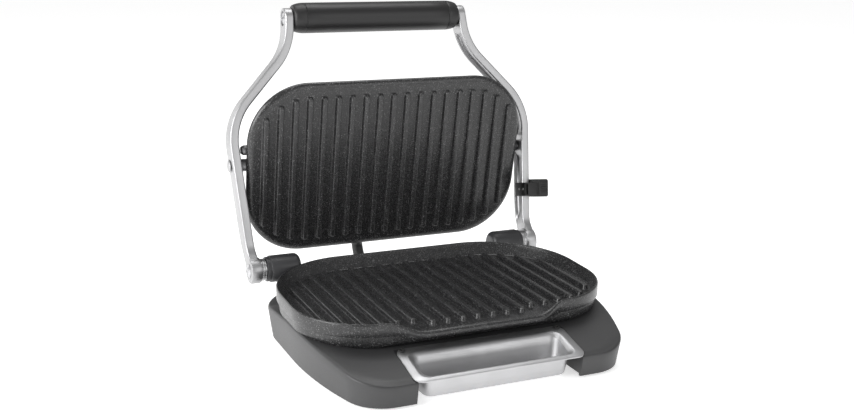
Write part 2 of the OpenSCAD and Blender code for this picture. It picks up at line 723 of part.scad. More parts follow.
// Frame on the leaning rear wall of the cover, z straight out of it
module on_cover_wall(x, z) {
    translate([x, cover_wall_y(z), z]) rotate([cover_lean - 90, 0, 0]) children();
}
module lid_cover() {
    foot_z = lid_plate_h;
    inner = cover_step + cover_wall;
    color([0.27, 0.27, 0.28]) in_lid_frame() difference() {
        union() {
            slab("lid", foot_z, shoulder_z, cover_step, cover_step + cover_draft);
            slab("lid", shoulder_z, cover_h - 4, cover_step + cover_draft, cover_step + 10);
            slab("lid", cover_h - 4, cover_h, cover_step + 10, cover_step + 22);
        }
        slab("lid", foot_z - 1, shoulder_z, inner, inner + cover_draft);
        slab("lid", shoulder_z - 1, cover_h - 4 - cover_wall, inner + cover_draft, inner + 9);
        both() translate([bracket_in - 1, bracket_y - 4, foot_z - 1])
            cube([40, bracket_d + 8, bracket_top - foot_z + 1]);
        on_cover_wall(lead_x_lid, lid_gland_z) cylinder(h = 20, r = lead_hole_r, center = true);
        for (x = [-12, 12]) translate([x, -40, 0]) cylinder(h = 80, r = 3.5);
    }
}
module upper_heating_element() {
    color([0.35, 0.33, 0.31]) in_lid_frame() heater(lid_floor_z + heater_r);
}
module upper_reflector() {
    color([0.72, 0.72, 0.74]) in_lid_frame() difference() {
        slab("lid", lid_reflector_z, lid_reflector_z + reflector_t, lid_recess + 1, lid_recess + 1);
        at_lid_screws() cylinder(h = 60, r = 2.1, center = true);
    }
}
module lid_thermostat() {
    color([0.75, 0.73, 0.7]) in_lid_frame() translate([0, 0, lid_floor_z]) cylinder(h = 2 * heater_r, r = 8);
}
// Steel angle on the back of the plate that holds the pivot pin and the stop pin
module lid_brackets() {
    color([0.3, 0.3, 0.31]) in_lid_frame() both() difference() {
        union() {
            translate([bracket_in, bracket_y, lid_plate_h]) cube([bracket_out - bracket_in, bracket_d, 1.8]);
            translate([bracket_out - bracket_t, bracket_y, lid_plate_h])
                cube([bracket_t, bracket_d, bracket_top - lid_plate_h]);
        }
        translate([0, -pivot_ahead, pivot_rise]) rod_x(bracket_in, bracket_out + 1, pivot_r);
        translate([0, -pivot_ahead - stop_lift, pivot_rise]) rod_x(bracket_in, bracket_out + 1, 2.2);
    }
}
module pivot_pins() {
    color([0.45, 0.45, 0.46]) in_lid_frame() translate([0, -pivot_ahead, pivot_rise]) both() {
        rod_x(bracket_out - bracket_t - 1, arm_out_x + 1, pivot_r);
        rod_x(bracket_out, arm_in_x - run_gap, spacer_r);
        rod_x(bracket_out - bracket_t - 2.5, bracket_out - bracket_t, pivot_r + 1);
        translate([arm_out_x + run_gap + 0.6, 0, 0]) rotate([0, 90, 0]) cylinder(h = 2.6, r1 = 6.4, r2 = 5.2);
    }
}
module stop_pins() {
    color([0.4, 0.4, 0.41]) in_lid_frame()
        translate([0, -pivot_ahead - stop_lift, pivot_rise]) both() {
            rod_x(bracket_out - bracket_t, bracket_out, 2.2);
            rod_x(bracket_out, arm_in_x - 4.6, 4);
            translate([arm_in_x - 4.6, 0, 0]) rotate([0, 90, 0]) cylinder(h = 3.2, r1 = 4, r2 = 2.6);
        }
}
module at_lid_screws() {
    for (x = [-100, 100], y = [-45, 45]) translate([x, y, 0]) children();
}
module lid_screws() {
    color([0.6, 0.6, 0.62]) in_lid_frame() at_lid_screws() {
        translate([0, 0, lid_floor_z]) cylinder(h = 2 * heater_r + reflector_t, r = 2);
        translate([0, 0, lid_reflector_z + reflector_t]) domed_screw(4, 2);
    }
}
module indicator_lenses() {
    color([0.7, 0.15, 0.1]) in_lid_frame() for (x = [-12, 12])
        translate([x, -40, cover_h - 7]) {
            cylinder(h = 8, r = 3.5);
            cylinder(h = 0.5, r = 4.5);
        }
}
module lid_lead_gland() {
    color([0.08, 0.08, 0.08]) in_lid_frame()
        on_cover_wall(lead_x_lid, lid_gland_z) gland(lead_hole_r, lead_r, 5);
}

// Height clip: a slider hooked round the lower part of the right arm

module in_clip_frame() {
    in_arm_frame() translate([clip_x, 0, clip_w]) rotate([0, leg_angle, 0]) children();
}
module height_clip() {
    in_x = -arm_t / 2 - 0.3;
    out_x = arm_t / 2 + 0.3;
    slot_n = arm_front_n - 0.3;
    color([0.1, 0.1, 0.1]) in_clip_frame() translate([0, 0, -clip_l / 2]) linear_extrude(clip_l)
        polygon(concat(
            [[in_x - clip_skin, 15], [in_x, 15], [in_x, slot_n], [out_x, slot_n], [out_x, 17]],
            arc([clip_reach + out_x - 4, 13], 4, 90, 0, 4),
            arc([clip_reach + out_x - 4, clip_front_n + 4], 4, 0, -90, 4),
            arc([in_x - clip_skin + 2, clip_front_n + 2], 2, 270, 180, 3)));
}
module clip_thumb_pad() {
    pad = clip_l * 0.62;
    color([0.14, 0.14, 0.14]) in_clip_frame()
        translate([clip_reach - 7.5, clip_front_n - 2, -pad / 2]) {
            translate([0, 0.8, 0]) cube([9, 1.2, pad]);
            for (i = [0:3]) translate([1 + i * 2.1, 0, 0.6]) cube([0.9, 1, pad - 1.2]);
        }
}
module clip_screws() {
    color([0.5, 0.5, 0.5]) in_clip_frame() for (z = [-4.2, 4.2])
        translate([-arm_t / 2 - 0.3 - clip_skin, 8, z]) rotate([0, -90, 0]) domed_screw(1.6, 0.8);
}

// Drip tray

module tray_shell(grow, z0) {
    d0 = tray_draft;
    top = deck_z + 10;
    r = 8;
    w = tray_half_w + grow;
    front = tray_front + grow;
    rear = tray_rear - grow;
    m = -(front + rear) / 2;
    h = (front - rear) / 2;
    sx = w / (w - d0);
    sy = h / (h - d0);
    translate([0, m, z0]) linear_extrude(top - z0, scale = [sx, sy], slices = 1, $fn = 0) polygon(concat(
        arc([w - d0 - r, r - h + d0], r, -90, 0, 5), arc([w - d0 - r, h - d0 - r], r, 0, 90, 5),
        arc([r - w + d0, h - d0 - r], r, 90, 180, 5), arc([r - w + d0, r - h + d0], r, 180, 270, 5)));
}
module drip_tray() {
    color([0.78, 0.78, 0.8]) {
        difference() {
            union() {
                intersection() {
                    tray_shell(0, tray_z);
                    in_flange_plane() translate([-100, -100, -80]) cube([200, 140, 80 - tray_t / 2]);
                }
                in_flange_plane() translate([0, 0, -tray_t]) linear_extrude(tray_t) tray_flange();
            }
            tray_shell(-tray_t, tray_z + tray_t);
        }
    }
}
module tray_flange() {
    w = tray_flange_half_w;
    l = (flange_front - flange_rear) / cos(flange_slope);
    r = 7;
    rs = 2;
    polygon(concat(
        arc([w - r, r - l], r, -90, 0, 5),
        [[w, -14], [w - 1.5, -12]], arc([w - 1.5 - rs, -rs], rs, 0, 90, 3),
        arc([rs + 1.5 - w, -rs], rs, 90, 180, 3), [[1.5 - w, -12], [-w, -14]],
        arc([r - w, r - l], r, 180, 270, 5)));
}
module tray_buffers() {
    color([0.05, 0.05, 0.05]) in_flange_plane() both()
        translate([tray_flange_half_w - 5.2, -3.6, 0]) difference() {
            cylinder(h = 1.6, r = 2.6);
            translate([0, 0, 0.6]) cylinder(h = 2, r = 1.1);
        }
}

// Lead between base and lid

function rounded(p, steps) = [for (i = [1:len(p) - 3], k = [0:steps - 1])
    let (t = k / steps, a = p[i - 1], b = p[i], c = p[i + 1], d = p[i + 2])
    0.5 * ((2 * b) + (c - a) * t + (2 * a - 5 * b + 4 * c - d) * t * t + (3 * b - a - 3 * c + d) * t * t * t)];
module lid_lead() {
    last = len(lead_route) - 1;
    pts = concat([lead_route[0]], rounded(lead_route, 2), [lead_route[last - 1], lead_route[last]]);
    color([0.07, 0.07, 0.07]) tube(pts, lead_r - 0.05, lead_sides);
}
// Sweep of a round section along points: every ring faces the mean of its two runs
module tube(pts, r, sides) {
    n = len(pts);
    rings = [for (i = [0:n - 1])
        let (d = unit(pts[min(n - 1, i + 1)] - pts[max(0, i - 1)]),
            u = unit(cross([1, 0, 0], d)), v = cross(d, u))
        [for (k = [0:sides - 1]) pts[i] + r * (cos(360 * k / sides) * u + sin(360 * k / sides) * v)]];
    faces = concat(
        [[for (k = [0:sides - 1]) k]],
        [for (i = [0:n - 2], k = [0:sides - 1]) let (a = i * sides, j = (k + 1) % sides)
            [a + k, a + sides + k, a + sides + j]],
        [for (i = [0:n - 2], k = [0:sides - 1]) let (a = i * sides, j = (k + 1) % sides)
            [a + k, a + sides + j, a + j]],
        [[for (k = [sides - 1:-1:0]) (n - 1) * sides + k]]);
    polyhedron([for (ring = rings) each ring], faces);
}

base_housing();
bottom_cover();
feet();
base_screws();
hinge_tower_left();
hinge_tower_right();
lower_carrier();
lower_grill_plate();
lower_heating_element();
lower_reflector();
lower_thermostat();
thermal_fuse();
terminal_block();
cord_gland();
base_lead_gland();
arm_left();
arm_right();
hinge_shafts();
hinge_collars();
hinge_screws();
handle_rod();
handle_grip();
grip_ends();
handle_screws();
upper_grill_plate();
lid_cover();
upper_heating_element();
upper_reflector();
lid_thermostat();
lid_brackets();
pivot_pins();
stop_pins();
lid_screws();
indicator_lenses();
lid_lead_gland();
height_clip();
clip_thumb_pad();
clip_screws();
drip_tray();
tray_buffers();
lid_lead();
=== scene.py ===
from math import acos, atan, atan2, cos, degrees, pi, radians, sin, sqrt, tan

import bmesh
import bpy
from mathutils import Matrix, Vector


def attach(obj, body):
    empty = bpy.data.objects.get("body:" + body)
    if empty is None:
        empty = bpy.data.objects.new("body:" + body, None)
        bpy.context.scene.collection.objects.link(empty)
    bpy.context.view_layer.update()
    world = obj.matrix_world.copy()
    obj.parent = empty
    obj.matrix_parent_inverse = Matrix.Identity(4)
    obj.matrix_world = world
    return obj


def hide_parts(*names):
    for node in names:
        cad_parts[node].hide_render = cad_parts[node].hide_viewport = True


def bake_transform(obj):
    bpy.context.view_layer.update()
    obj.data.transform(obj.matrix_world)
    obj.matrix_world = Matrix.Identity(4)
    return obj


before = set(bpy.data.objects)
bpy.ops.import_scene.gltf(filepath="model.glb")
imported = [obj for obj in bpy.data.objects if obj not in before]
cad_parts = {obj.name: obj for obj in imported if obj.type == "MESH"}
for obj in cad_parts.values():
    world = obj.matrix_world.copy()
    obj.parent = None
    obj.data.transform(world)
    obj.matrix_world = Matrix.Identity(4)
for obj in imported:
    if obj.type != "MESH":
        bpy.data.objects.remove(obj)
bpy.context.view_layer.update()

# Table, light and camera.
# The grill stands on a plain white table that glows faintly and runs out to a white studio.
# A strong soft box lights it from the left, weaker ones from behind, above and in front.
bpy.ops.mesh.primitive_plane_add(size=14, location=(0, 0, 0))
table_top = bpy.context.object
table_top.name = "table_top"
pale = bpy.data.materials.new("pale_table")
pale.use_nodes = True
pale.node_tree.nodes["Principled BSDF"].inputs["Base Color"].default_value = (0.9, 0.9, 0.9, 1)
pale.node_tree.nodes["Principled BSDF"].inputs["Roughness"].default_value = 0.6
pale.node_tree.nodes["Principled BSDF"].inputs["Emission Color"].default_value = (1, 1, 1, 1)
pale.node_tree.nodes["Principled BSDF"].inputs["Emission Strength"].default_value = 0.6
table_top.data.materials.append(pale)

studio = bpy.data.worlds.new("white_studio")
studio.use_nodes = True
studio.node_tree.nodes["Background"].inputs["Color"].default_value = (1, 1, 1, 1)
seen = studio.node_tree.nodes.new("ShaderNodeLightPath")
wall_light = studio.node_tree.nodes.new("ShaderNodeMapRange")
wall_light.inputs["To Min"].default_value = 0.4
wall_light.inputs["To Max"].default_value = 1.0
studio.node_tree.links.new(seen.outputs["Is Camera Ray"], wall_light.inputs["Value"])
studio.node_tree.links.new(wall_light.outputs["Result"], studio.node_tree.nodes["Background"].inputs["Strength"])
bpy.context.scene.world = studio
bpy.context.scene.view_settings.view_transform = "Standard"


def soft_box(name, at, aim, width, height, watts):
    lamp = bpy.data.lights.new(name, "AREA")
    lamp.shape = "RECTANGLE"
    lamp.size, lamp.size_y, lamp.energy = width, height, watts
    stand = bpy.data.objects.new(name, lamp)
    bpy.context.scene.collection.objects.link(stand)
    stand.location = at
    stand.rotation_euler = (Vector(aim) - Vector(at)).to_track_quat("-Z", "Y").to_euler()


soft_box("left_box", (-1.7, -0.35, 0.75), (0, 0, 0.12), 1.3, 1.1, 34)
soft_box("rear_box", (-1.2, 2.3, 0.8), (0, 0, 0.1), 2.0, 1.4, 11)
soft_box("top_box", (0.1, 0.5, 2.0), (0, 0, 0.1), 1.5, 0.9, 17)
soft_box("front_box", (0.9, -2.2, 1.0), (0, 0, 0.1), 2.2, 1.4, 14)

camera = bpy.data.objects.new("camera", bpy.data.cameras.new("camera"))
bpy.context.scene.collection.objects.link(camera)
bpy.context.scene.camera = camera
camera.data.lens, camera.data.sensor_width = 47.27, 36
camera_turn, camera_rise, camera_roll = radians(-24.42), radians(14.45), radians(1.05)
away = Vector((sin(camera_turn) * cos(camera_rise), -cos(camera_turn) * cos(camera_rise), sin(camera_rise)))
level = Vector((cos(camera_turn), sin(camera_turn), 0))
upright = away.cross(level)
across_view = cos(camera_roll) * level + sin(camera_roll) * upright
up_view = cos(camera_roll) * upright - sin(camera_roll) * level
camera.matrix_world = Matrix.Translation((-0.4397, -0.9379, 0.4037)) @ Matrix(
    (across_view, up_view, away)).transposed().to_4x4()

# Base housing.
# A moulded tray of dark grey plastic with a crowned deck, leaning walls and a bay cut into its front.
# It is drawn as rings from the foot to the deck, then the bay and the wells are cut out of it.
base_half_w, base_front, base_rear = 155, 141, 112
deck_z, deck_rear_z, crown_front, crown_r = 41, 33, 16, 430
base_draft, foot_gap = 6, 2


def arc(c, r, a0, a1, n):
    turn = [radians(a0 + (a1 - a0) * i / n) for i in range(n + 1)]
    return [(c[0] + r * cos(a), c[1] + r * sin(a)) for a in turn]


def deck_height(y):
    crown = deck_z - crown_r + sqrt(crown_r ** 2 - (y + crown_front) ** 2)
    return max(crown, deck_rear_z) if y > 0 else crown


def rounded_box(x0, x1, y0, y1, r, n=6):
    return (arc((x1 - r, y0 + r), r, -90, 0, n) + arc((x1 - r, y1 - r), r, 0, 90, n)
            + arc((x0 + r, y1 - r), r, 90, 180, n) + arc((x0 + r, y0 + r), r, 180, 270, n))


def base_outline(inset):
    corner, rear, bow = 42, 58, 400
    bow_x = base_half_w - bow
    corner_y = corner - base_front
    corner_x = bow_x + sqrt((bow - corner) ** 2 - corner_y ** 2)
    bow_a = degrees(atan2(corner_y, corner_x - bow_x))
    front = [(corner_x * t, -base_front + inset) for t in (0.15, 0.35, 0.55, 0.75, 0.9)]
    half = (front + arc((corner_x, corner_y), corner - inset, -90, bow_a, 16)
            + arc((bow_x, 0), bow - inset, bow_a * 0.85, 0, 10)
            + arc((base_half_w - rear, base_rear - rear), rear - inset, 0, 90, 20)
            + [((base_half_w - rear) * t, base_rear - inset) for t in (0.8, 0.6, 0.4, 0.2)])
    return half + [(-x, y) for x, y in reversed(half)]


def skin(rings, cap_first=True, cap_last=True):
    n = len(rings[0])
    faces = []
    for i in range(len(rings) - 1):
        for k in range(n):
            j = (k + 1) % n
            faces.append((i * n + k, i * n + j, (i + 1) * n + j, (i + 1) * n + k))
    if cap_first:
        faces.append(tuple(range(n - 1, -1, -1)))
    if cap_last:
        faces.append(tuple((len(rings) - 1) * n + k for k in range(n)))
    return [p for ring in rings for p in ring], faces


def together(*shapes):
    points, faces = [], []
    for more_points, more_faces in shapes:
        start = len(points)
        points += more_points
        faces += [tuple(start + i for i in f) for f in more_faces]
    return points, faces


def crease(mesh, angle):
    work = bmesh.new()
    work.from_mesh(mesh)
    bmesh.ops.remove_doubles(work, verts=work.verts, dist=2e-6)
    bmesh.ops.recalc_face_normals(work, faces=work.faces)
    for f in work.faces:
        f.smooth = True
    for e in work.edges:
        e.smooth = len(e.link_faces) != 2 or e.calc_face_angle(0) < radians(angle)
    work.to_mesh(mesh)
    work.free()


def solid(name, shape, angle=32):
    mesh = bpy.data.meshes.new(name)
    mesh.from_pydata([(x * 0.001, y * 0.001, z * 0.001) for x, y, z in shape[0]], [], shape[1])
    crease(mesh, angle)
    made = bpy.data.objects.new(name, mesh)
    bpy.context.scene.collection.objects.link(made)
    return made


def cut(piece, *shapes, angle=32):
    for shape in shapes:
        tool = solid("tool", shape)
        knife = piece.modifiers.new("cut", "BOOLEAN")
        knife.operation, knife.solver, knife.object = "DIFFERENCE", "EXACT", tool
        bpy.context.view_layer.update()
        graph = bpy.context.evaluated_depsgraph_get()
        fresh = bpy.data.meshes.new_from_object(piece.evaluated_get(graph))
        piece.modifiers.clear()
        piece.data = fresh
        bpy.data.objects.remove(tool)
    crease(piece.data, angle)


def place(piece, body, slot, material, *nodes):
    piece.data.materials.clear()
    piece.data.materials.append(material)
    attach(piece, body)
    if nodes:
        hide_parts(*nodes)


def new_finish(name, colour, rough, metal, edge=0.5):
    """A material with object coordinates ready and a softened edge that the grain's bump sits on."""
    made = bpy.data.materials.new(name)
    made.use_nodes = True
    tree = made.node_tree
    shader = tree.nodes["Principled BSDF"]
    shader.inputs["Base Color"].default_value = (*colour, 1)
    shader.inputs["Roughness"].default_value = rough
    shader.inputs["Metallic"].default_value = metal
    where = tree.nodes.new("ShaderNodeTexCoord")
    soft = tree.nodes.new("ShaderNodeBevel")
    soft.samples = 4
    soft.inputs["Radius"].default_value = edge * 0.001
    return made, tree, shader, where, soft


def grain(tree, where, size_mm, detail=3, kind="ShaderNodeTexNoise"):
    node = tree.nodes.new(kind)
    node.inputs["Scale"].default_value = 1000 / size_mm
    if "Detail" in node.inputs:
        node.inputs["Detail"].default_value = detail
    tree.links.new(where.outputs["Object"], node.inputs["Vector"])
    return node


def spread(tree, source, low, high, from_low=0.3, from_high=0.7):
    node = tree.nodes.new("ShaderNodeMapRange")
    node.inputs["From Min"].default_value = from_low
    node.inputs["From Max"].default_value = from_high
    node.inputs["To Min"].default_value = low
    node.inputs["To Max"].default_value = high
    tree.links.new(source, node.inputs["Value"])
    return node.outputs["Result"]


def tint(tree, shader, factor, dark, light):
    node = tree.nodes.new("ShaderNodeMix")
    node.data_type = "RGBA"
    node.inputs["A"].default_value = (*dark, 1)
    node.inputs["B"].default_value = (*light, 1)
    tree.links.new(factor, node.inputs["Factor"])
    tree.links.new(node.outputs["Result"], shader.inputs["Base Color"])


def emboss(tree, shader, soft, height, strength, depth_mm):
    node = tree.nodes.new("ShaderNodeBump")
    node.inputs["Strength"].default_value = strength
    node.inputs["Distance"].default_value = depth_mm * 0.001
    tree.links.new(height, node.inputs["Height"])
    tree.links.new(soft.outputs["Normal"], node.inputs["Normal"])
    tree.links.new(node.outputs["Normal"], shader.inputs["Normal"])


def moulded_plastic(name, colour, rough, grain_mm=0.5, depth_mm=0.05):
    made, tree, shader, where, soft = new_finish(name, colour, rough, 0, 0.7)
    cloud = grain(tree, where, 60, 2).outputs["Fac"]
    fine = grain(tree, where, grain_mm, 3).outputs["Fac"]
    tint(tree, shader, spread(tree, cloud, 0, 1), [c * 0.93 for c in colour], [min(1, c * 1.07) for c in colour])
    tree.links.new(spread(tree, fine, rough - 0.06, rough + 0.06), shader.inputs["Roughness"])
    emboss(tree, shader, soft, fine, 0.35, depth_mm)
    return made


grey_plastic = moulded_plastic("grey_housing_plastic", (0.036, 0.036, 0.037), 0.45)


def base_ring(inset, z):
    return [(x, y, z) for x, y in base_outline(inset)]


def wall_inset(z):
    return base_draft * (deck_z + 1 - z) / (deck_z + 1 - foot_gap)


deck_round, wall_foot, lip_w, lip_h = 2.4, 2.6, 3.2, 4.6
housing_rings = [base_ring(wall_inset(foot_gap) + lip_w, lip_h), base_ring(wall_inset(foot_gap) + lip_w, foot_gap),
                 base_ring(wall_inset(foot_gap) + 0.8, foot_gap), base_ring(wall_inset(wall_foot), wall_foot)]
wall_line = base_outline(wall_inset(30))
for part in (0.25, 0.5, 0.75, 1.0):
    levels = [wall_foot + (deck_height(y) - deck_round - wall_foot) * part for _, y in wall_line]
    housing_rings.append([
        (px + (qx - px) * wall_inset(z) / base_draft, py + (qy - py) * wall_inset(z) / base_draft, z)
        for (px, py), (qx, qy), z in zip(base_outline(0), base_outline(base_draft), levels)])
rim = housing_rings[-1]
for step in (22, 45, 68, 90):
    a = radians(step)
    inward = base_outline(deck_round * (1 - cos(a)) + wall_inset(30))
    housing_rings.append([
        (x + ix - ox, y + iy - oy, z + deck_round * sin(a))
        for (x, y, z), (ix, iy), (ox, oy) in zip(rim, inward, wall_line)])
deck_edge, deck_mid = housing_rings[-1], 14.5
for s in (0.985, 0.95, 0.9, 0.84, 0.78, 0.72, 0.66, 0.6, 0.54, 0.48, 0.42, 0.36, 0.3, 0.24, 0.18, 0.12, 0.06):
    housing_rings.append([(x * s, -deck_mid + (y + deck_mid) * s, deck_height(-deck_mid + (y + deck_mid) * s))
                          for x, y, _ in deck_edge])
housing = solid("housing_shell", skin(housing_rings), 34)


def block(x0, x1, y0, y1, z0, z1, corner=0.01, place_point=lambda p: p):
    outline = rounded_box(x0, x1, y0, y1, corner)
    return skin([[place_point((x, y, z)) for x, y in outline] for z in (z0, z1)])


bay_half_w, bay_rear = 80.8, 96
flange_rear, flange_front = bay_rear - 6, base_front - 1
deck_at_rear = deck_z - (flange_rear - crown_front) ** 2 / (2 * crown_r)
deck_at_front = deck_z - (flange_front - crown_front) ** 2 / (2 * crown_r)
flange_slope = atan((deck_at_rear - deck_at_front) / (flange_front - flange_rear))


def on_flange(p):
    x, y, z = p
    return (x, -flange_rear + y * cos(flange_slope) - z * sin(flange_slope),
            deck_at_rear + 0.8 + y * sin(flange_slope) + z * cos(flange_slope))


plate_half_w, plate_front, plate_rear, plate_front_r, plate_rear_r = 156, 90, 99.5, 70, 88


def plate_outline(inset, half_w=plate_half_w, front=plate_front, rear=plate_rear, rf=plate_front_r, rr=plate_rear_r):
    flat = [t * (half_w - rf) for t in (0.1, 0.3, 0.5, 0.62, 0.7, 0.74, 0.78, 0.82, 0.86, 0.9, 0.94, 0.98)]
    half = ([(x, -front + inset) for x in flat]
            + arc((half_w - rf, rf - front), rf - inset, -90, 0, 22)
            + arc((half_w - rr, rear - rr), rr - inset, 0, 90, 26)
            + [((half_w - rr) * t, rear - inset) for t in (0.66, 0.33)])
    return half + [(-x, y) for x, y in reversed(half)]


def plate_ring(inset, z):
    return [(x, y, z) for x, y in plate_outline(inset)]


carrier_z, carrier_step = 36, 2.5
cut(housing,
    block(-bay_half_w, bay_half_w, -170, -bay_rear, -20, 80, 5),
    block(-84.4, 84.4, -80, 0.4, -1.6, 20, 3, on_flange),
    skin([plate_ring(carrier_step + 5.6, carrier_z), plate_ring(carrier_step + 0.6, carrier_z + 5),
          plate_ring(carrier_step - 0.4, carrier_z + 5.2), plate_ring(carrier_step - 0.4, 60)]))
place(housing, "base", "base_plastic", grey_plastic, "base_housing")

# Feet, bottom cover and screws of the base.
# A flat cover closes the housing from below, held by four steel screws that sit in turned rubber feet.
# A fifth, plain foot stands in the middle. These are the CAD solids with their finishes.
soft_rubber = moulded_plastic("black_rubber", (0.018, 0.018, 0.018), 0.72, 0.8, 0.08)


def plated_steel(name, colour, rough, scratch_mm=0.4):
    made, tree, shader, where, soft = new_finish(name, colour, rough, 1, 0.3)
    turn = grain(tree, where, scratch_mm, 4).outputs["Fac"]
    tint(tree, shader, spread(tree, grain(tree, where, 12, 2).outputs["Fac"], 0, 1),
         [c * 0.9 for c in colour], [min(1, c * 1.1) for c in colour])
    tree.links.new(spread(tree, turn, rough - 0.08, rough + 0.1), shader.inputs["Roughness"])
    emboss(tree, shader, soft, turn, 0.15, 0.02)
    return made


screw_steel = plated_steel("zinc_screw_steel", (0.5, 0.5, 0.51), 0.3)


def dress(node, material):
    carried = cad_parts[node]
    carried.data.materials.clear()
    carried.data.materials.append(material)


dress("bottom_cover", grey_plastic)
dress("feet", soft_rubber)
dress("base_screws", screw_steel)
dress("cord_gland", soft_rubber)
dress("base_lead_gland", soft_rubber)
dress("lid_lead_gland", soft_rubber)

# Pan under the lower plate.
# A shallow coated pan carries the heater and stands in the deck's well.
# Only its outer wall and rounded foot are seen, as a dark band under the plate.


def coated_plate(name, colour, fleck, rough):
    made, tree, shader, where, soft = new_finish(name, colour, rough, 0, 0.5)
    shader.inputs["Specular IOR Level"].default_value = 0.55
    flecks = grain(tree, where, 1.1, 0, "ShaderNodeTexVoronoi").outputs["Distance"]
    patch = grain(tree, where, 1.6, 2).outputs["Fac"]
    near = spread(tree, flecks, 1, 0, 0.12, 0.34)
    keep = spread(tree, patch, 0, 1, 0.48, 0.56)
    both = tree.nodes.new("ShaderNodeMath")
    both.operation = "MULTIPLY"
    tree.links.new(near, both.inputs[0])
    tree.links.new(keep, both.inputs[1])
    tint(tree, shader, both.outputs["Value"], colour, fleck)
    fine = grain(tree, where, 1.0, 4).outputs["Fac"]
    tree.links.new(spread(tree, fine, rough - 0.08, rough + 0.1), shader.inputs["Roughness"])
    emboss(tree, shader, soft, fine, 0.55, 0.12)
    return made


plate_coating = coated_plate("speckled_plate_coating", (0.016, 0.016, 0.0165), (0.3, 0.3, 0.302), 0.28)
rim_z, rim_slope, rim_wall_h = 62.7, radians(1.5), 12.5


def rim_at(y, drop=0.0):
    return rim_z + y * tan(rim_slope) - drop


pan_rings = [plate_ring(carrier_step + 9, carrier_z), plate_ring(carrier_step + 6.2, carrier_z)]
for a in (20, 45, 70, 90):
    pan_rings.append(plate_ring(carrier_step + 6 - 6 * sin(radians(a)), carrier_z + 6 - 6 * cos(radians(a))))
pan_rings.append([(x, y, rim_at(y, rim_wall_h)) for x, y, _ in pan_rings[-1]])
pan_rings.append([(x, y, rim_at(y, rim_wall_h)) for x, y in plate_outline(carrier_step + 6)])
pan = solid("plate_pan", skin(pan_rings))
place(pan, "base", "plate_coating", plate_coating, "lower_carrier")

# Lower cooking plate.
# Cast aluminium with a speckled non-stick coat: nineteen ribs, a rim that climbs to the rear,
# and a wide spout where the rim dips to the floor over the drip tray.
rib_top_z, rib_h, rib_pitch, rib_foot_w = 57, 4.5, 15, 6
plate_z = rib_top_z - rib_h
lip_half_w, lip_reach = 70, 12


def ease(t):
    t = min(1, max(0, t))
    return t * t * (3 - 2 * t)


def spout(x, y):
    return ease((lip_half_w + 20 - abs(x)) / 34) if y < 0 else 0.0


def rim_profile(y, station):
    """Distance in from the outline and height of a point of the rim, from its foot over its crest to the floor."""
    top, drop = rim_at(y), rim_at(y) - plate_z
    inner = 2.4 + 0.743 * (drop - 1.2)
    slope = [(2.4 + (inner - 2.4) * u, top - 1.2 - (drop - 1.2) * u) for u in (0.0, 0.3, 0.6, 0.82)]
    return ([(9.2, top - rim_wall_h), (0.9, top - rim_wall_h), (0.25, top - rim_wall_h + 0.25),
             (0, top - rim_wall_h + 0.9), (0, top - 5), (0, top - 1.3), (0.25, top - 0.5), (0.8, top - 0.08),
             (1.3, top), (1.8, top - 0.2), (2.15, top - 0.6)] + slope
            + [(inner - 0.7, plate_z + 1.1), (inner + 0.6, plate_z + 0.4), (inner + 2.2, plate_z + 0.06),
               (inner + 4, plate_z)])[station]


spout_profile = [(9.2 + 12, 46.0), (3.2, 46.0), (1.6, 46.2), (0.6, 46.9), (0.1, 47.8), (0.1, 48.9), (0.6, 50.1),
                 (1.4, 51.0), (2.4, 51.7), (3.6, 52.15), (5.0, 52.4), (8, 52.5), (11, 52.5), (14, 52.5), (17, 52.5),
                 (19, 52.5), (21, 52.5), (23, 52.5), (25, 52.5)]


def inward_point(x, y, run):
    """The point of the plate's outline at x, y, moved in by run square to the outline."""
    half_w, front, rear, rf, rr = plate_half_w, plate_front, plate_rear, plate_front_r, plate_rear_r
    side = 1 if x >= 0 else -1
    if abs(x) > half_w - rf and y < rf - front + 0.01:
        c, r = (half_w - rf, rf - front), rf
    elif abs(x) > half_w - rr - 0.01 and y > rear - rr - 0.01:
        c, r = (half_w - rr, rear - rr), rr
    elif y < 0 and abs(x) <= half_w - rf + 0.01:
        return x, y + run
    elif y > 0 and abs(x) <= half_w - rr:
        return x, y - run
    else:
        return x - side * run, y
    k = (r - run) / r
    return side * (c[0] + (abs(x) - c[0]) * k), c[1] + (y - c[1]) * k


def rim_ring(station):
    ring = []
    for x, y in plate_outline(0):
        s = spout(x, y)
        run, z = rim_profile(y, station)
        lip_run, lip_z = spout_profile[station]
        deep = inward_point(x, y, run * (1 - s) + (lip_run - lip_reach) * s)
        ring.append((*deep, z * (1 - s) + lip_z * s))
    return ring


rim_rings = [[(x, y, 48.0) for x, y, _ in rim_ring(0)]] + [rim_ring(i) for i in range(len(spout_profile))]
plate_body = skin(rim_rings)


def rib(x, y0, y1, at=lambda p: p, up=1, z0=0.0):
    layers = [(-0.9, -0.6), (-0.9, 0.0), (-0.35, 0.22), (0.0, 0.75), (0.45, rib_h - 1.3), (0.62, rib_h - 0.7),
              (0.95, rib_h - 0.25), (1.4, rib_h - 0.04), (1.9, rib_h)]
    r = rib_foot_w / 2
    rings = []
    for inset, z in layers:
        end = arc((x, y0 + r), r - inset, 180, 360, 12) + arc((x, y1 - r), r - inset, 0, 180, 12)
        rings.append([at((px, py, z0 + up * z)) for px, py in end])
    return skin(rings)


def rib_reach(x, w, d, r):
    beyond = abs(x) - (w - r)
    return d - r + sqrt(max(0, r * r - beyond ** 2)) if beyond > 0 else d


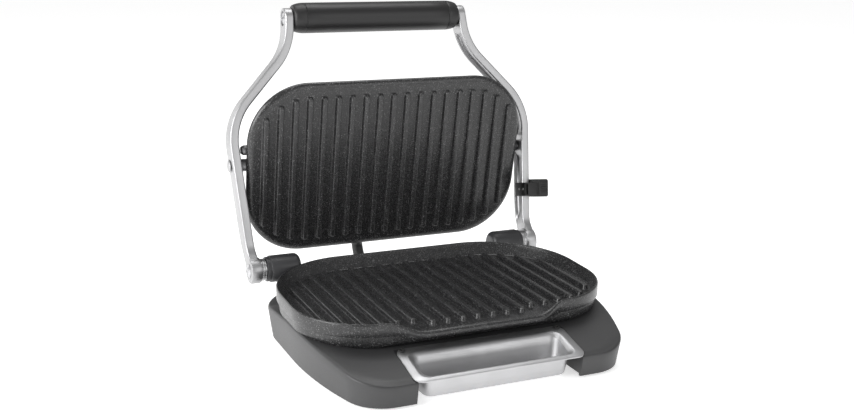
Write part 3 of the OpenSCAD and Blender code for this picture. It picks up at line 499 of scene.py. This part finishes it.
front_gap, rear_gap, spout_rib_extra = 11, 13.5, 10
rib_places = [i * rib_pitch for i in range(-9, 10)]
lower_ribs = []
for x in rib_places:
    front_end = rib_reach(x, plate_half_w - front_gap, plate_front - front_gap, plate_front_r - front_gap)
    if abs(x) <= 3 * rib_pitch:
        front_end += spout_rib_extra
    rear_end = rib_reach(x, plate_half_w - rear_gap, plate_rear - rear_gap, plate_rear_r - rear_gap)
    lower_ribs.append(rib(x, -front_end, rear_end, z0=plate_z))
lower_plate = solid("lower_plate", together(plate_body, *lower_ribs), 40)
place(lower_plate, "base", "plate_coating", plate_coating, "lower_grill_plate")

# Heater, reflector and cut-outs.
# A sheathed tube heater lies under each plate on a bright reflector, with a thermostat, a fuse
# and a terminal block. All are closed in; they keep their CAD solids.
bright_sheet = plated_steel("rolled_reflector", (0.75, 0.75, 0.76), 0.22)
dark_sheath = plated_steel("heater_sheath", (0.16, 0.15, 0.14), 0.5)
cream_ceramic = moulded_plastic("cream_ceramic", (0.62, 0.6, 0.54), 0.6)
for node in ("lower_heating_element", "upper_heating_element"):
    dress(node, dark_sheath)
for node in ("lower_reflector", "upper_reflector"):
    dress(node, bright_sheet)
for node in ("lower_thermostat", "lid_thermostat", "thermal_fuse", "terminal_block"):
    dress(node, cream_ceramic)

# Hinge barrels.
# Moulded barrels on short necks stand on the deck's rear corners and hold the hinge shafts.
# The inner end of each is rounded, the outer end is stepped down to meet an aluminium collar.
hinge_y, hinge_z, barrel_r, barrel_inner, barrel_l = 102.5, 58.5, 13.5, 108.5, 35.5
barrel_plastic = moulded_plastic("barrel_plastic", (0.028, 0.028, 0.03), 0.4)


def lathe(profile, at, steps=56):
    """Turned about an axis along X through at: profile is (x, radius) from one end to the other."""
    return skin([[(x, at[0] + max(r, 0.01) * cos(2 * pi * k / steps), at[1] + max(r, 0.01) * sin(2 * pi * k / steps))
                  for k in range(steps)] for x, r in profile])


def mirrored(shape, side):
    return [(side * x, y, z) for x, y, z in shape[0]], shape[1]


for side, word in ((-1, "left"), (1, "right")):
    end = barrel_inner + barrel_l
    round_end = [(barrel_inner + 5.5 - 5.5 * cos(radians(a)), barrel_r - 5.5 + 5.5 * sin(radians(a)))
                 for a in range(0, 91, 10)]
    barrel = lathe([(barrel_inner, 0), (barrel_inner, 2)] + round_end
                   + [(end - 4.8, barrel_r), (end - 4.5, barrel_r - 0.2), (end - 4.4, barrel_r - 0.9),
                      (end - 0.6, barrel_r - 1.1), (end - 0.15, barrel_r - 1.4), (end, barrel_r - 2), (end, 5.2),
                      (end - 6, 5.2), (end - 6, 0)], (hinge_y, hinge_z))
    neck_rings = []
    for z, grow in ((33.0, 2.2), (33.6, 1.2), (34.6, 0.5), (36.5, 0), (46, 0), (52, 0.4)):
        x0, x1, y0, y1, c = 114 - grow, 128 + grow, 91 - grow * 0.5, 107 + grow * 0.4, 4
        outline = (arc((x1 - 9, y0 + c), c, -90, 0, 5) + arc((x1 - 9, y1 - 9), 9, 0, 90, 6)
                   + arc((x0 + c, y1 - c), c, 90, 180, 5) + arc((x0 + c, y0 + c), c, 180, 270, 5))
        neck_rings.append([(x, y, z) for x, y in outline])
    tower = solid("hinge_barrel_" + word, mirrored(together(barrel, skin(neck_rings)), side), 36)
    place(tower, "base", "base_plastic", barrel_plastic, "hinge_tower_" + word)

# Arms.
# Two cast aluminium arms rise from the hinge, bend out round the lid and close in to the handle.
# Each has rounded edges, a channel along its inner face, a round boss below and a screw recess above.
arm_lean, arm_t, arm_d, arm_l = radians(13.1), 9, 20.5, 251
arm_x_low, arm_x_wide, arm_x_neck, arm_x_top, bend_r = 155.2, 165.4, 99.6, 96.5, 62
shoulder_w, neck_w, arm_front_n = 149, 219, 1.2
handle_n = arm_front_n + arm_d / 2
boss_r = 13


def on_arm(p):
    x, n, w = p
    return x, hinge_y + n * cos(arm_lean) + w * sin(arm_lean), hinge_z - n * sin(arm_lean) + w * cos(arm_lean)


def bend(p, q, s, r, n):
    p, q, s = Vector(p), Vector(q), Vector(s)
    a, b = (p - q).normalized(), (s - q).normalized()
    half = acos(a.dot(b)) / 2
    c = q + (a + b).normalized() * r / sin(half)
    f, l = q + a * r / tan(half) - c, q + b * r / tan(half) - c
    a0 = degrees(atan2(f.y, f.x))
    d = (degrees(atan2(l.y, l.x)) - a0 + 540) % 360 - 180
    return arc(c, r, a0, a0 + d, n)


leg_heights = (0, 3, 6, 10, 15, 20, 25, 30, 36, 44, 60, 64, 68, 72, 78, 84, 88, 92, 96, 100, 106, 110, 113,
               116, 119, 121)
arm_top_r, arm_top_turns = 10.25, (12, 25, 38, 50, 62, 74, 84, 90)
arm_line = ([(arm_x_low + (arm_x_wide - arm_x_low) * w / shoulder_w, w) for w in leg_heights]
            + bend((arm_x_low, 0), (arm_x_wide, shoulder_w), (arm_x_neck, neck_w), bend_r, 22)
            + bend((arm_x_wide, shoulder_w), (arm_x_neck, neck_w), (arm_x_top, arm_l), bend_r, 22)
            + [(arm_x_top, arm_l)] + [(arm_x_top, arm_l + arm_top_r * sin(radians(a))) for a in arm_top_turns])
front_edge = [(0, -10.6), (3, -11.0), (6.2, -9.9), (9.5, -7.8), (13, -5.2), (17, -2.1), (20, -0.4), (23, 0.6),
              (28, 1.2), (300, 1.2)]
rear_edge = [(0, 10.5), (3, 12.6), (14, 16.4), (26, 20.6), (38, 22.1), (50, 22.5), (90, 22.1), (251, 21.7),
             (300, 21.7)]


def read_edge(points, w):
    for (w0, n0), (w1, n1) in zip(points, points[1:]):
        if w <= w1:
            return n0 + (n1 - n0) * (w - w0) / (w1 - w0)
    return points[-1][1]


def arm_section(n0, n1, groove):
    """Half-rounded bar section as (across, depth) points; the channel is on the negative side."""
    h, r = arm_t / 2, min(1.8, (n1 - n0) * 0.3)
    lip = 3.6
    points = []
    for cx, cn, a0 in ((h - r, n0 + r, -90), (h - r, n1 - r, 0), (r - h, n1 - r, 90)):
        points += arc((cx, cn), r, a0, a0 + 90, 6)
    wall = max(0.05, min(lip, (n1 - n0) / 2 - 0.3))
    points += [(-h, n1 - wall + 0.7), (-h + min(0.3, groove), n1 - wall + 0.25), (-h + groove * 0.85, n1 - wall - 0.3),
               (-h + groove, n1 - wall - 1.1 if groove else n1 - wall - 0.6),
               (-h + groove, n0 + wall + 1.1 if groove else n0 + wall + 0.6), (-h + groove * 0.85, n0 + wall + 0.3),
               (-h + min(0.3, groove), n0 + wall - 0.25), (-h, n0 + wall - 0.7)]
    points += arc((r - h, n0 + r), r, 180, 270, 6)
    return points


def channel_depth(w):
    deep = 3.7
    low = ease((w - 22) / 6) * ease((98 - w) / 5)
    high = ease((w - 115) / 5) * ease((234 - w) / 6)
    return deep * max(low, high)


def arm_rings(side):
    rings = []
    for i, (x, w) in enumerate(arm_line):
        before, after = Vector(arm_line[max(0, i - 1)]), Vector(arm_line[min(len(arm_line) - 1, i + 1)])
        along = (after - before).normalized()
        out = Vector((along.y, -along.x))
        n0, n1 = read_edge(front_edge, w), read_edge(rear_edge, w)
        if w > arm_l:
            half = sqrt(max(0.02, arm_top_r ** 2 - (w - arm_l) ** 2))
            n0, n1 = handle_n - half, handle_n + half
        ring = []
        for across, n in arm_section(n0, n1, channel_depth(w)):
            p = Vector((x, w)) + out * across
            ring.append(on_arm((side * p.x, n, p.y)))
        rings.append(ring)
    return rings


def satin_cast(name, colour, rough):
    made, tree, shader, where, soft = new_finish(name, colour, rough, 1, 0.6)
    cloud = grain(tree, where, 45, 3).outputs["Fac"]
    fine = grain(tree, where, 0.35, 3).outputs["Fac"]
    tint(tree, shader, spread(tree, cloud, 0, 1), [c * 0.94 for c in colour], [min(1, c * 1.05) for c in colour])
    tree.links.new(spread(tree, fine, rough - 0.07, rough + 0.07), shader.inputs["Roughness"])
    emboss(tree, shader, soft, fine, 0.3, 0.03)
    return made


arm_aluminium = satin_cast("satin_arm_aluminium", (0.43, 0.43, 0.435), 0.42)
boss_in_x, boss_out_x = arm_x_low - arm_t / 2, arm_x_low + arm_t / 2
top_in_x = arm_x_top - arm_t / 2


def turned(profile, at_n, at_w, steps=56):
    shape = lathe(profile, (at_n, at_w), steps)
    return [on_arm(p) for p in shape[0]], shape[1]


for side, word in ((-1, "left"), (1, "right")):
    bar = skin(arm_rings(side))
    a, b = boss_in_x - 1.0, boss_out_x + 0.8
    boss = turned([(a, 0), (a, 5.05), (a, boss_r - 1.2), (a + 0.35, boss_r - 0.35), (a + 1.2, boss_r),
                   (b - 1.4, boss_r), (b - 0.4, boss_r - 0.4), (b, boss_r - 1.4), (b, 8.2), (b - 0.5, 7.6),
                   (b - 0.5, 0)],
                  0, 0)
    arm = solid("cast_arm_" + word, together(bar, mirrored(boss, side)), 34)
    recess_in, recess_out, recess_r = top_in_x + arm_t - 1.4, top_in_x + 20, 7.6
    recess = turned([(recess_in, 0), (recess_in, recess_r), (recess_out, recess_r), (recess_out, 0)], handle_n, arm_l)
    cut(arm, mirrored(recess, side), angle=34)
    place(arm, "arms", "arm_metal", arm_aluminium, "arm_" + word)

# Hinge shafts, collars and screws.
# Steel shafts run from the barrels into the arms behind turned aluminium collars.
# Domed cross-head screws close the hinge and hold the handle.
collar_aluminium = satin_cast("turned_collar_aluminium", (0.46, 0.46, 0.465), 0.36)
collar = turned([(144.3, 5.1), (144.3, 10.6), (144.6, 11.1), (145.6, 11.2), (145.8, 10.7), (146.2, 10.7),
                 (146.4, 11.2), (148.2, 11.2), (148.4, 10.8), (148.7, 10.8), (148.9, 11.2), (boss_in_x - 1.02, 11.2),
                 (boss_in_x - 1.02, 5.1)], 0, 0)
collars = solid("turned_collars", together(collar, mirrored(collar, -1)), 34)
place(collars, "arms", "arm_metal", collar_aluminium, "hinge_collars")
for node in ("hinge_shafts", "hinge_screws", "handle_rod", "handle_screws"):
    dress(node, screw_steel)

# Handle grip.
# A black satin grip moulded in one round bar, with a narrow groove before each tapered end piece.
# It is fitted over a steel rod that the two arms carry between them.
grip_r, grip_end_l = 15.5, 13
grip_plastic = moulded_plastic("black_grip_plastic", (0.007, 0.0067, 0.007), 0.42, 0.4, 0.03)
end_plastic = moulded_plastic("black_end_plastic", (0.009, 0.0087, 0.009), 0.46, 0.4, 0.03)
half_grip = top_in_x - grip_end_l
right_half = [(half_grip - 0.5, grip_r), (half_grip - 0.15, grip_r - 0.15), (half_grip, grip_r - 0.5),
              (half_grip, 5.1)]
middle = [(t * half_grip, grip_r) for t in (-0.75, -0.5, -0.25, 0, 0.25, 0.5, 0.75)]
left_half = [(-x, r) for x, r in reversed(right_half)]
grip = solid("round_grip", turned(left_half + middle + right_half, handle_n, arm_l, 72))
place(grip, "arms", "black_plastic", grip_plastic, "handle_grip")
ends = []
for side in (-1, 1):
    x0 = half_grip + 0.05
    profile = [(x0, 5.1), (x0, grip_r - 0.6), (x0 + 0.15, grip_r - 0.15), (x0 + 0.5, grip_r), (x0 + 3, grip_r - 0.1),
               (x0 + 7, grip_r - 0.7), (x0 + 10.4, grip_r - 1.7), (x0 + 11.9, grip_r - 2.5), (x0 + 12.6, grip_r - 3.6),
               (top_in_x - 0.05, grip_r - 5), (top_in_x - 0.05, 5.1)]
    ends.append(mirrored(turned(profile, handle_n, arm_l, 72), side))
grip_caps = solid("grip_caps", together(*ends))
place(grip_caps, "arms", "black_plastic", end_plastic, "grip_ends")

# Upper cooking plate.
# The ribbed twin of the lower plate, cast with a rounded edge and coated like it.
# It is drawn closed, ribs down, and opened about the pivots in the arms.
lid_half_w, lid_half_d, lid_r, lid_plate_h = 152.5, 91, 62, 11
lid_open, pivot_w, pivot_n, pivot_rise, pivot_ahead = radians(80.9), 105.5, 15.3, 17, 5
pivot_y = hinge_y + pivot_w * sin(arm_lean) + pivot_n * cos(arm_lean)
pivot_z = hinge_z + pivot_w * cos(arm_lean) - pivot_n * sin(arm_lean)


def on_lid(p):
    x, y, z = p[0], p[1] + pivot_ahead, p[2] - pivot_rise
    return x, pivot_y + y * cos(lid_open) + z * sin(lid_open), pivot_z - y * sin(lid_open) + z * cos(lid_open)


def lid_ring(inset, z):
    edge = plate_outline(inset, lid_half_w, lid_half_d, lid_half_d, lid_r, lid_r)
    return [on_lid((x, y, z)) for x, y in edge]


lid_rings = [lid_ring(i, z) for i, z in (
    (24, 4.5), (9, 4.5), (6.6, 4.42), (4.8, 4.62), (3.2, 5.15), (1.8, 6.0), (0.8, 7.0), (0.2, 8.1), (0, 9.2),
    (0.3, 10.2), (1.1, 10.85), (2.2, 11.0), (19.5, 11.0), (20, 10.6), (20, 8.5))]
upper_ribs = []
for x in rib_places:
    reach = rib_reach(x, rib_places[-1] + 16, 77.5, 60)
    upper_ribs.append(rib(x, -reach, reach, on_lid, -1, rib_h))
upper_plate = solid("upper_plate", together(skin(lid_rings), *upper_ribs), 40)
place(upper_plate, "lid", "plate_coating", plate_coating, "upper_grill_plate")

# Lid cover.
# A moulded dark cover closes the back of the upper plate over its heater.
# It has a soft shoulder all round and an opening at each side for a bracket. Two small lamps sit in it.
cover_step, cover_h, shoulder_z = 15, 44, 32
cover_plastic = moulded_plastic("cover_plastic", (0.035, 0.035, 0.037), 0.4)
cover_profile = [(17.5, 11.0), (15.2, 11.0), (15.0, 11.3), (15.1, 12), (18.0, 31), (18.6, 33.6), (19.8, 36.2),
                 (21.6, 38.4), (24.2, 40.0), (28, 41.4), (33, 42.7), (39, 43.5), (46, 43.95), (54, cover_h)]
cover_top = plate_outline(54, lid_half_w, lid_half_d, lid_half_d, lid_r, lid_r)
cover = solid("cover_shell", skin([lid_ring(i, z) for i, z in cover_profile]
                                  + [[on_lid((x * s, y * s, cover_h)) for x, y in cover_top] for s in (0.6, 0.2)]), 30)


def lid_block(x0, x1, y0, y1, z0, z1):
    return block(x0, x1, y0, y1, z0, z1, 2, on_lid)


cut(cover, lid_block(131, 171, -33, 9, 10, 23), lid_block(-171, -131, -33, 9, 10, 23), angle=30)
place(cover, "lid", "lid_plastic", cover_plastic, "lid_cover")
red_lens, lens_tree, lens_shader, lens_where, lens_edge = new_finish("red_lamp_lens", (0.5, 0.03, 0.02), 0.15, 0, 0.3)
emboss(lens_tree, lens_shader, lens_edge, grain(lens_tree, lens_where, 1.5, 1).outputs["Fac"], 0.2, 0.05)
dress("indicator_lenses", red_lens)

# Lid brackets and pins.
# Steel angles on the back of the plate carry the lid's pivot pins, and the stop pins
# that limit how far the lid tips. They are dark plated steel.
dark_steel = plated_steel("dark_plated_steel", (0.2, 0.2, 0.205), 0.38)
dress("lid_brackets", dark_steel)
dress("lid_screws", screw_steel)
bracket_out, pivot_x = 147, arm_x_low + (arm_x_wide - arm_x_low) / shoulder_w * pivot_w
arm_in_x, arm_out_x = pivot_x - arm_t / 2, pivot_x + arm_t / 2


def on_lid_axis(profile, at_y, at_z):
    shape = lathe(profile, (at_y, at_z), 40)
    return [on_lid(p) for p in shape[0]], shape[1]


spacers = on_lid_axis([(140.6, 0), (140.6, 3.4), (141.1, 3.95), (142.9, 3.95), (142.9, 3.0), (bracket_out, 3.0),
                       (bracket_out, 6.1), (bracket_out + 0.4, 6.4), (arm_in_x - 1.0, 6.4), (arm_in_x - 0.4, 6.0),
                       (arm_in_x - 0.4, 2.98), (arm_out_x + 0.9, 2.98), (arm_out_x + 0.9, 0)], -pivot_ahead, pivot_rise)
pins = solid("pivot_spacers", together(spacers, mirrored(spacers, -1)), 34)
place(pins, "lid", "steel", dark_steel, "pivot_pins")
cap = on_lid_axis([(arm_out_x + 1.0, 0), (arm_out_x + 1.0, 6.2), (arm_out_x + 1.2, 6.4), (arm_out_x + 1.6, 6.1),
                   (arm_out_x + 2.0, 5.2), (arm_out_x + 2.2, 3.8), (arm_out_x + 2.25, 0)], -pivot_ahead, pivot_rise)
caps = solid("pivot_caps", together(cap, mirrored(cap, -1)), 34)
place(caps, "lid", "arm_metal", arm_aluminium, "pivot_pins")
stop = on_lid_axis([(143, 0), (143, 2.2), (bracket_out, 2.2), (bracket_out, 4.7), (bracket_out + 0.3, 5.0),
                    (arm_in_x - 4.6, 5.0), (arm_in_x - 3.4, 4.7), (arm_in_x - 1.9, 3.9), (arm_in_x - 1.4, 3.1),
                    (arm_in_x - 1.4, 0)],
                   -pivot_ahead - 16, pivot_rise)
stops = solid("lid_stops", together(stop, mirrored(stop, -1)), 34)
place(stops, "lid", "steel", dark_steel, "stop_pins")

# Height clip.
# A black moulded slider hooks round the right arm and is pushed up or down with the thumb,
# to hold the lid at a set height. Its outer block carries a ridged pad.
clip_w, clip_reach, clip_skin, clip_front_n = 55, 19, 1.4, -7
leg_angle = atan((arm_x_wide - arm_x_low) / shoulder_w)
clip_x = arm_x_low + (arm_x_wide - arm_x_low) / shoulder_w * clip_w
clip_plastic = moulded_plastic("black_clip_plastic", (0.005, 0.005, 0.005), 0.5, 0.4, 0.03)


def on_clip(p):
    x, n, w = p
    return on_arm((clip_x + x * cos(leg_angle) + w * sin(leg_angle), n,
                   clip_w - x * sin(leg_angle) + w * cos(leg_angle)))


def clip_block(x0, x1, y0, y1, z0, z1, corner, edge):
    """A block with rounded corners and edges: x across the arm, y along it, z back from its front."""
    rings = []
    for inset, z in ((edge, z0), (edge * 0.3, z0 + edge * 0.3), (0, z0 + edge),
                     (0, z1 - edge), (edge * 0.3, z1 - edge * 0.3), (edge, z1)):
        r = max(0.05, corner - inset)
        outline = rounded_box(x0 + inset, x1 - inset, y0 + inset, y1 - inset, r)
        rings.append([on_clip((x, z, y)) for x, y in outline])
    return skin(rings)


in_x, out_x, slot_n = -arm_t / 2 - 0.3, arm_t / 2 + 0.3, arm_front_n - 0.3
clip_end = out_x + clip_reach
hook_in = in_x - clip_skin
hook = clip_block(hook_in, in_x, -6.5, 8.2, clip_front_n, 15, 0.5, 0.3)
bridge = clip_block(in_x + 3, out_x + 7, -6.5, 8.2, clip_front_n, slot_n, 0.8, 0.4)
cheek = clip_block(hook_in, in_x + 1, -6.5, 8.2, clip_front_n, slot_n, 0.5, 0.3)
ties = [clip_block(in_x, in_x + 4, w, w + 1.5, clip_front_n + 0.5, slot_n, 0.4, 0.3) for w in (-6.3, 6.5)]
outer_block = clip_block(out_x, clip_end, -7.6, 12, clip_front_n + 0.4, 17, 2.2, 0.5)
face_step = clip_block(out_x + 5.8, clip_end - 0.7, -6.9, 11.3, clip_front_n - 0.3, clip_front_n + 2, 1.8, 0.3)
clip_body = solid("clip_slider", together(hook, bridge, cheek, *ties, outer_block, face_step), 30)
place(clip_body, "clip", "black_plastic", clip_plastic, "height_clip")
pad_frame = clip_block(clip_end - 12.6, clip_end - 1.6, -5.2, 9, clip_front_n - 1.5, clip_front_n + 1, 0.8, 0.35)
pad_ridges = [clip_block(clip_end - 11.2, clip_end - 3, w, w + 0.9, clip_front_n - 1.95, clip_front_n - 1, 0.4, 0.25)
              for w in (-3.4, -1.4, 0.6, 2.6, 4.6, 6.6)]
thumb_pad = solid("ridged_thumb_pad", together(pad_frame, *pad_ridges), 30)
place(thumb_pad, "clip", "black_plastic", clip_plastic, "clip_thumb_pad")
rivets = []
for n in (-3.4, 5.6):
    dome = [[on_clip((hook_in - out, n + r * cos(2 * pi * k / 16), 1.2 + r * sin(2 * pi * k / 16))) for k in range(16)]
            for out, r in ((-0.5, 1.3), (0.1, 1.3), (0.35, 0.9), (0.42, 0.01))]
    rivets.append(skin(dome))
clip_rivets = solid("clip_rivets", together(*rivets), 30)
place(clip_rivets, "clip", "steel", screw_steel, "clip_screws")

# Drip tray.
# Pressed from one sheet of brushed metal: a sloping flange, a rolled inner bead, drafted walls
# and a rounded bottom. Two rubber buttons sit on its rear corners.
tray_flange_half_w, tray_half_w, tray_draft, tray_t, tray_z, tray_corner = 84, 75.5, 5, 1.4, 3.5, 8.0
tray_rear, tray_front = bay_rear + 3, base_front - 7


def flange_height(y):
    return deck_at_rear + 0.8 + (y + flange_rear) * tan(flange_slope)


def tray_ring(grow, share):
    """The tray's wall seen from above, grow in from its outer face, at a share of the draft: 0 at the top, 1 below."""
    top_w, top_f, top_r = tray_half_w - grow, tray_front - grow, tray_rear + grow
    low_w, low_f, low_r = top_w - tray_draft, top_f - tray_draft, top_r + tray_draft
    high = rounded_box(-top_w, top_w, -top_f, -top_r, tray_corner, 8)
    low = rounded_box(-low_w, low_w, -low_f, -low_r, tray_corner, 8)
    return [(hx + (lx - hx) * share, hy + (ly - hy) * share) for (hx, hy), (lx, ly) in zip(high, low)]


flange_l = (flange_front - flange_rear) / cos(flange_slope)


def flange_ring(half_w, front, rear, corner, z):
    return [on_flange((x, y, z)) for x, y in rounded_box(-half_w, half_w, -front, rear, corner, 8)]


def wall_levels(grow, floor_lift):
    rings = []
    for part in (0.04, 0.35, 0.7):
        ring = []
        for (x, y), (lx, ly) in zip(tray_ring(grow, 0), tray_ring(grow, 1)):
            top, foot = flange_height(y) - 1.6, tray_z + floor_lift + 2.2
            z = top + (foot - top) * part
            share = min(1, (41 - z) / 37)
            ring.append((x + (lx - x) * share, y + (ly - y) * share, z))
        rings.append(ring)
    for a in (0, 30, 60, 90):
        c = radians(a)
        ring = []
        for x, y in tray_ring(grow + 2.2 * (1 - cos(c)), 0.94):
            ring.append((x, y, tray_z + floor_lift + 2.2 - 2.2 * sin(c)))
        rings.append(ring)
    return rings


mouth_front, mouth_rear = (tray_front - flange_rear) / cos(flange_slope), -(tray_rear - flange_rear) / cos(flange_slope)
outer = [flange_ring(tray_flange_half_w, flange_l, 0, 9, -tray_t + 0.3),
         flange_ring(tray_flange_half_w - 0.3, flange_l - 0.3, -0.3, 9, -tray_t),
         flange_ring(tray_half_w + 1.2, mouth_front + 1.4, mouth_rear + 1.4, 8, -tray_t)]
inner = [flange_ring(tray_flange_half_w, flange_l, 0, 9, -0.3),
         flange_ring(tray_flange_half_w - 0.3, flange_l - 0.3, -0.3, 9, 0),
         flange_ring(tray_half_w + 2.6, mouth_front + 2.6, mouth_rear + 2.6, 9, 0),
         flange_ring(tray_half_w + 1.8, mouth_front + 1.9, mouth_rear + 1.9, 8.6, 0.25),
         flange_ring(tray_half_w + 0.6, mouth_front + 0.7, mouth_rear + 0.7, 8, 0.1),
         flange_ring(tray_half_w - 0.8, mouth_front - 0.6, mouth_rear - 0.8, 7.4, -0.6)]
tray_rings = list(reversed(wall_levels(0, 0))) + list(reversed(outer)) + inner + wall_levels(tray_t, tray_t)


def brushed_sheet(name, colour, rough):
    made, tree, shader, where, soft = new_finish(name, colour, rough, 1, 0.4)
    stretch = tree.nodes.new("ShaderNodeMapping")
    stretch.inputs["Scale"].default_value = (0.03, 1, 1)
    lines = tree.nodes.new("ShaderNodeTexNoise")
    lines.inputs["Scale"].default_value = 3200
    lines.inputs["Detail"].default_value = 3
    tree.links.new(where.outputs["Object"], stretch.inputs["Vector"])
    tree.links.new(stretch.outputs["Vector"], lines.inputs["Vector"])
    cloud = grain(tree, where, 30, 2).outputs["Fac"]
    tint(tree, shader, spread(tree, cloud, 0, 1), [c * 0.94 for c in colour], [min(1, c * 1.05) for c in colour])
    tree.links.new(spread(tree, lines.outputs["Fac"], rough - 0.08, rough + 0.08), shader.inputs["Roughness"])
    emboss(tree, shader, soft, lines.outputs["Fac"], 0.2, 0.02)
    return made


tray_metal = brushed_sheet("brushed_tray_metal", (0.5, 0.5, 0.507), 0.46)
tray = solid("pressed_tray", skin(tray_rings), 45)
place(tray, "tray", "tray_metal", tray_metal, "drip_tray")
dress("tray_buffers", soft_rubber)

# Lead between base and lid.
# A sleeved black lead carries the current from the base to the upper heater. It leaves the rear wall,
# loops up behind the hinge and enters the lid.
lead_r, lead_in = 6, 3
wall_lean = atan(base_draft / (deck_z + 1 - foot_gap))
cover_lean = atan(3 / (shoulder_z - lid_plate_h))


def lead_at_base(out):
    z = 19
    return Vector((-18, base_rear - wall_inset(z) + out * cos(wall_lean), z - out * sin(wall_lean)))


def lead_at_lid(out):
    z = 21.5
    y = lid_half_d - cover_step - 3 * (z - lid_plate_h) / (shoulder_z - lid_plate_h)
    return Vector(on_lid((-22, y + out * cos(cover_lean), z + out * sin(cover_lean))))


lead_route = [lead_at_base(-lead_in), lead_at_base(7), lead_at_base(18), Vector((-19, 143, 20)),
              Vector((-19.5, 155, 29)), Vector((-20.5, 163, 42)), Vector((-21.5, 167, 55)), lead_at_lid(18),
              lead_at_lid(7), lead_at_lid(-lead_in)]


def smooth_route(points, steps):
    path = [points[0]]
    for i in range(1, len(points) - 2):
        a, b, c, d = points[i - 1:i + 3]
        for k in range(steps):
            t = k / steps
            path.append(0.5 * (2 * b + (c - a) * t + (2 * a - 5 * b + 4 * c - d) * t * t
                               + (3 * b - a - 3 * c + d) * t ** 3))
    return path + [points[-2], points[-1]]


lead_path = smooth_route(lead_route, 8)


def tube(path, radius, steps=20):
    rings = []
    for i, p in enumerate(path):
        along = (path[min(len(path) - 1, i + 1)] - path[max(0, i - 1)]).normalized()
        u = Vector((1, 0, 0)).cross(along).normalized()
        v = along.cross(u)
        rings.append([tuple(p + radius * (cos(2 * pi * k / steps) * u + sin(2 * pi * k / steps) * v))
                      for k in range(steps)])
    return skin(rings)


lead_sleeve = moulded_plastic("black_lead_sleeve", (0.014, 0.014, 0.014), 0.5, 0.6, 0.05)
split = len(lead_path) // 2
lower_lead = solid("lead_lower_half", tube(lead_path[:split + 1], lead_r - 0.05))
upper_lead = solid("lead_upper_half", tube(lead_path[split:], lead_r - 0.05))
for piece, body_a, body_b, first, second in (
        (lower_lead, "base", "arms", lead_path[4], lead_path[split]),
        (upper_lead, "arms", "lid", lead_path[split], lead_path[-12])):
    piece.data.materials.append(lead_sleeve)
    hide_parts("lid_lead")
    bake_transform(piece)
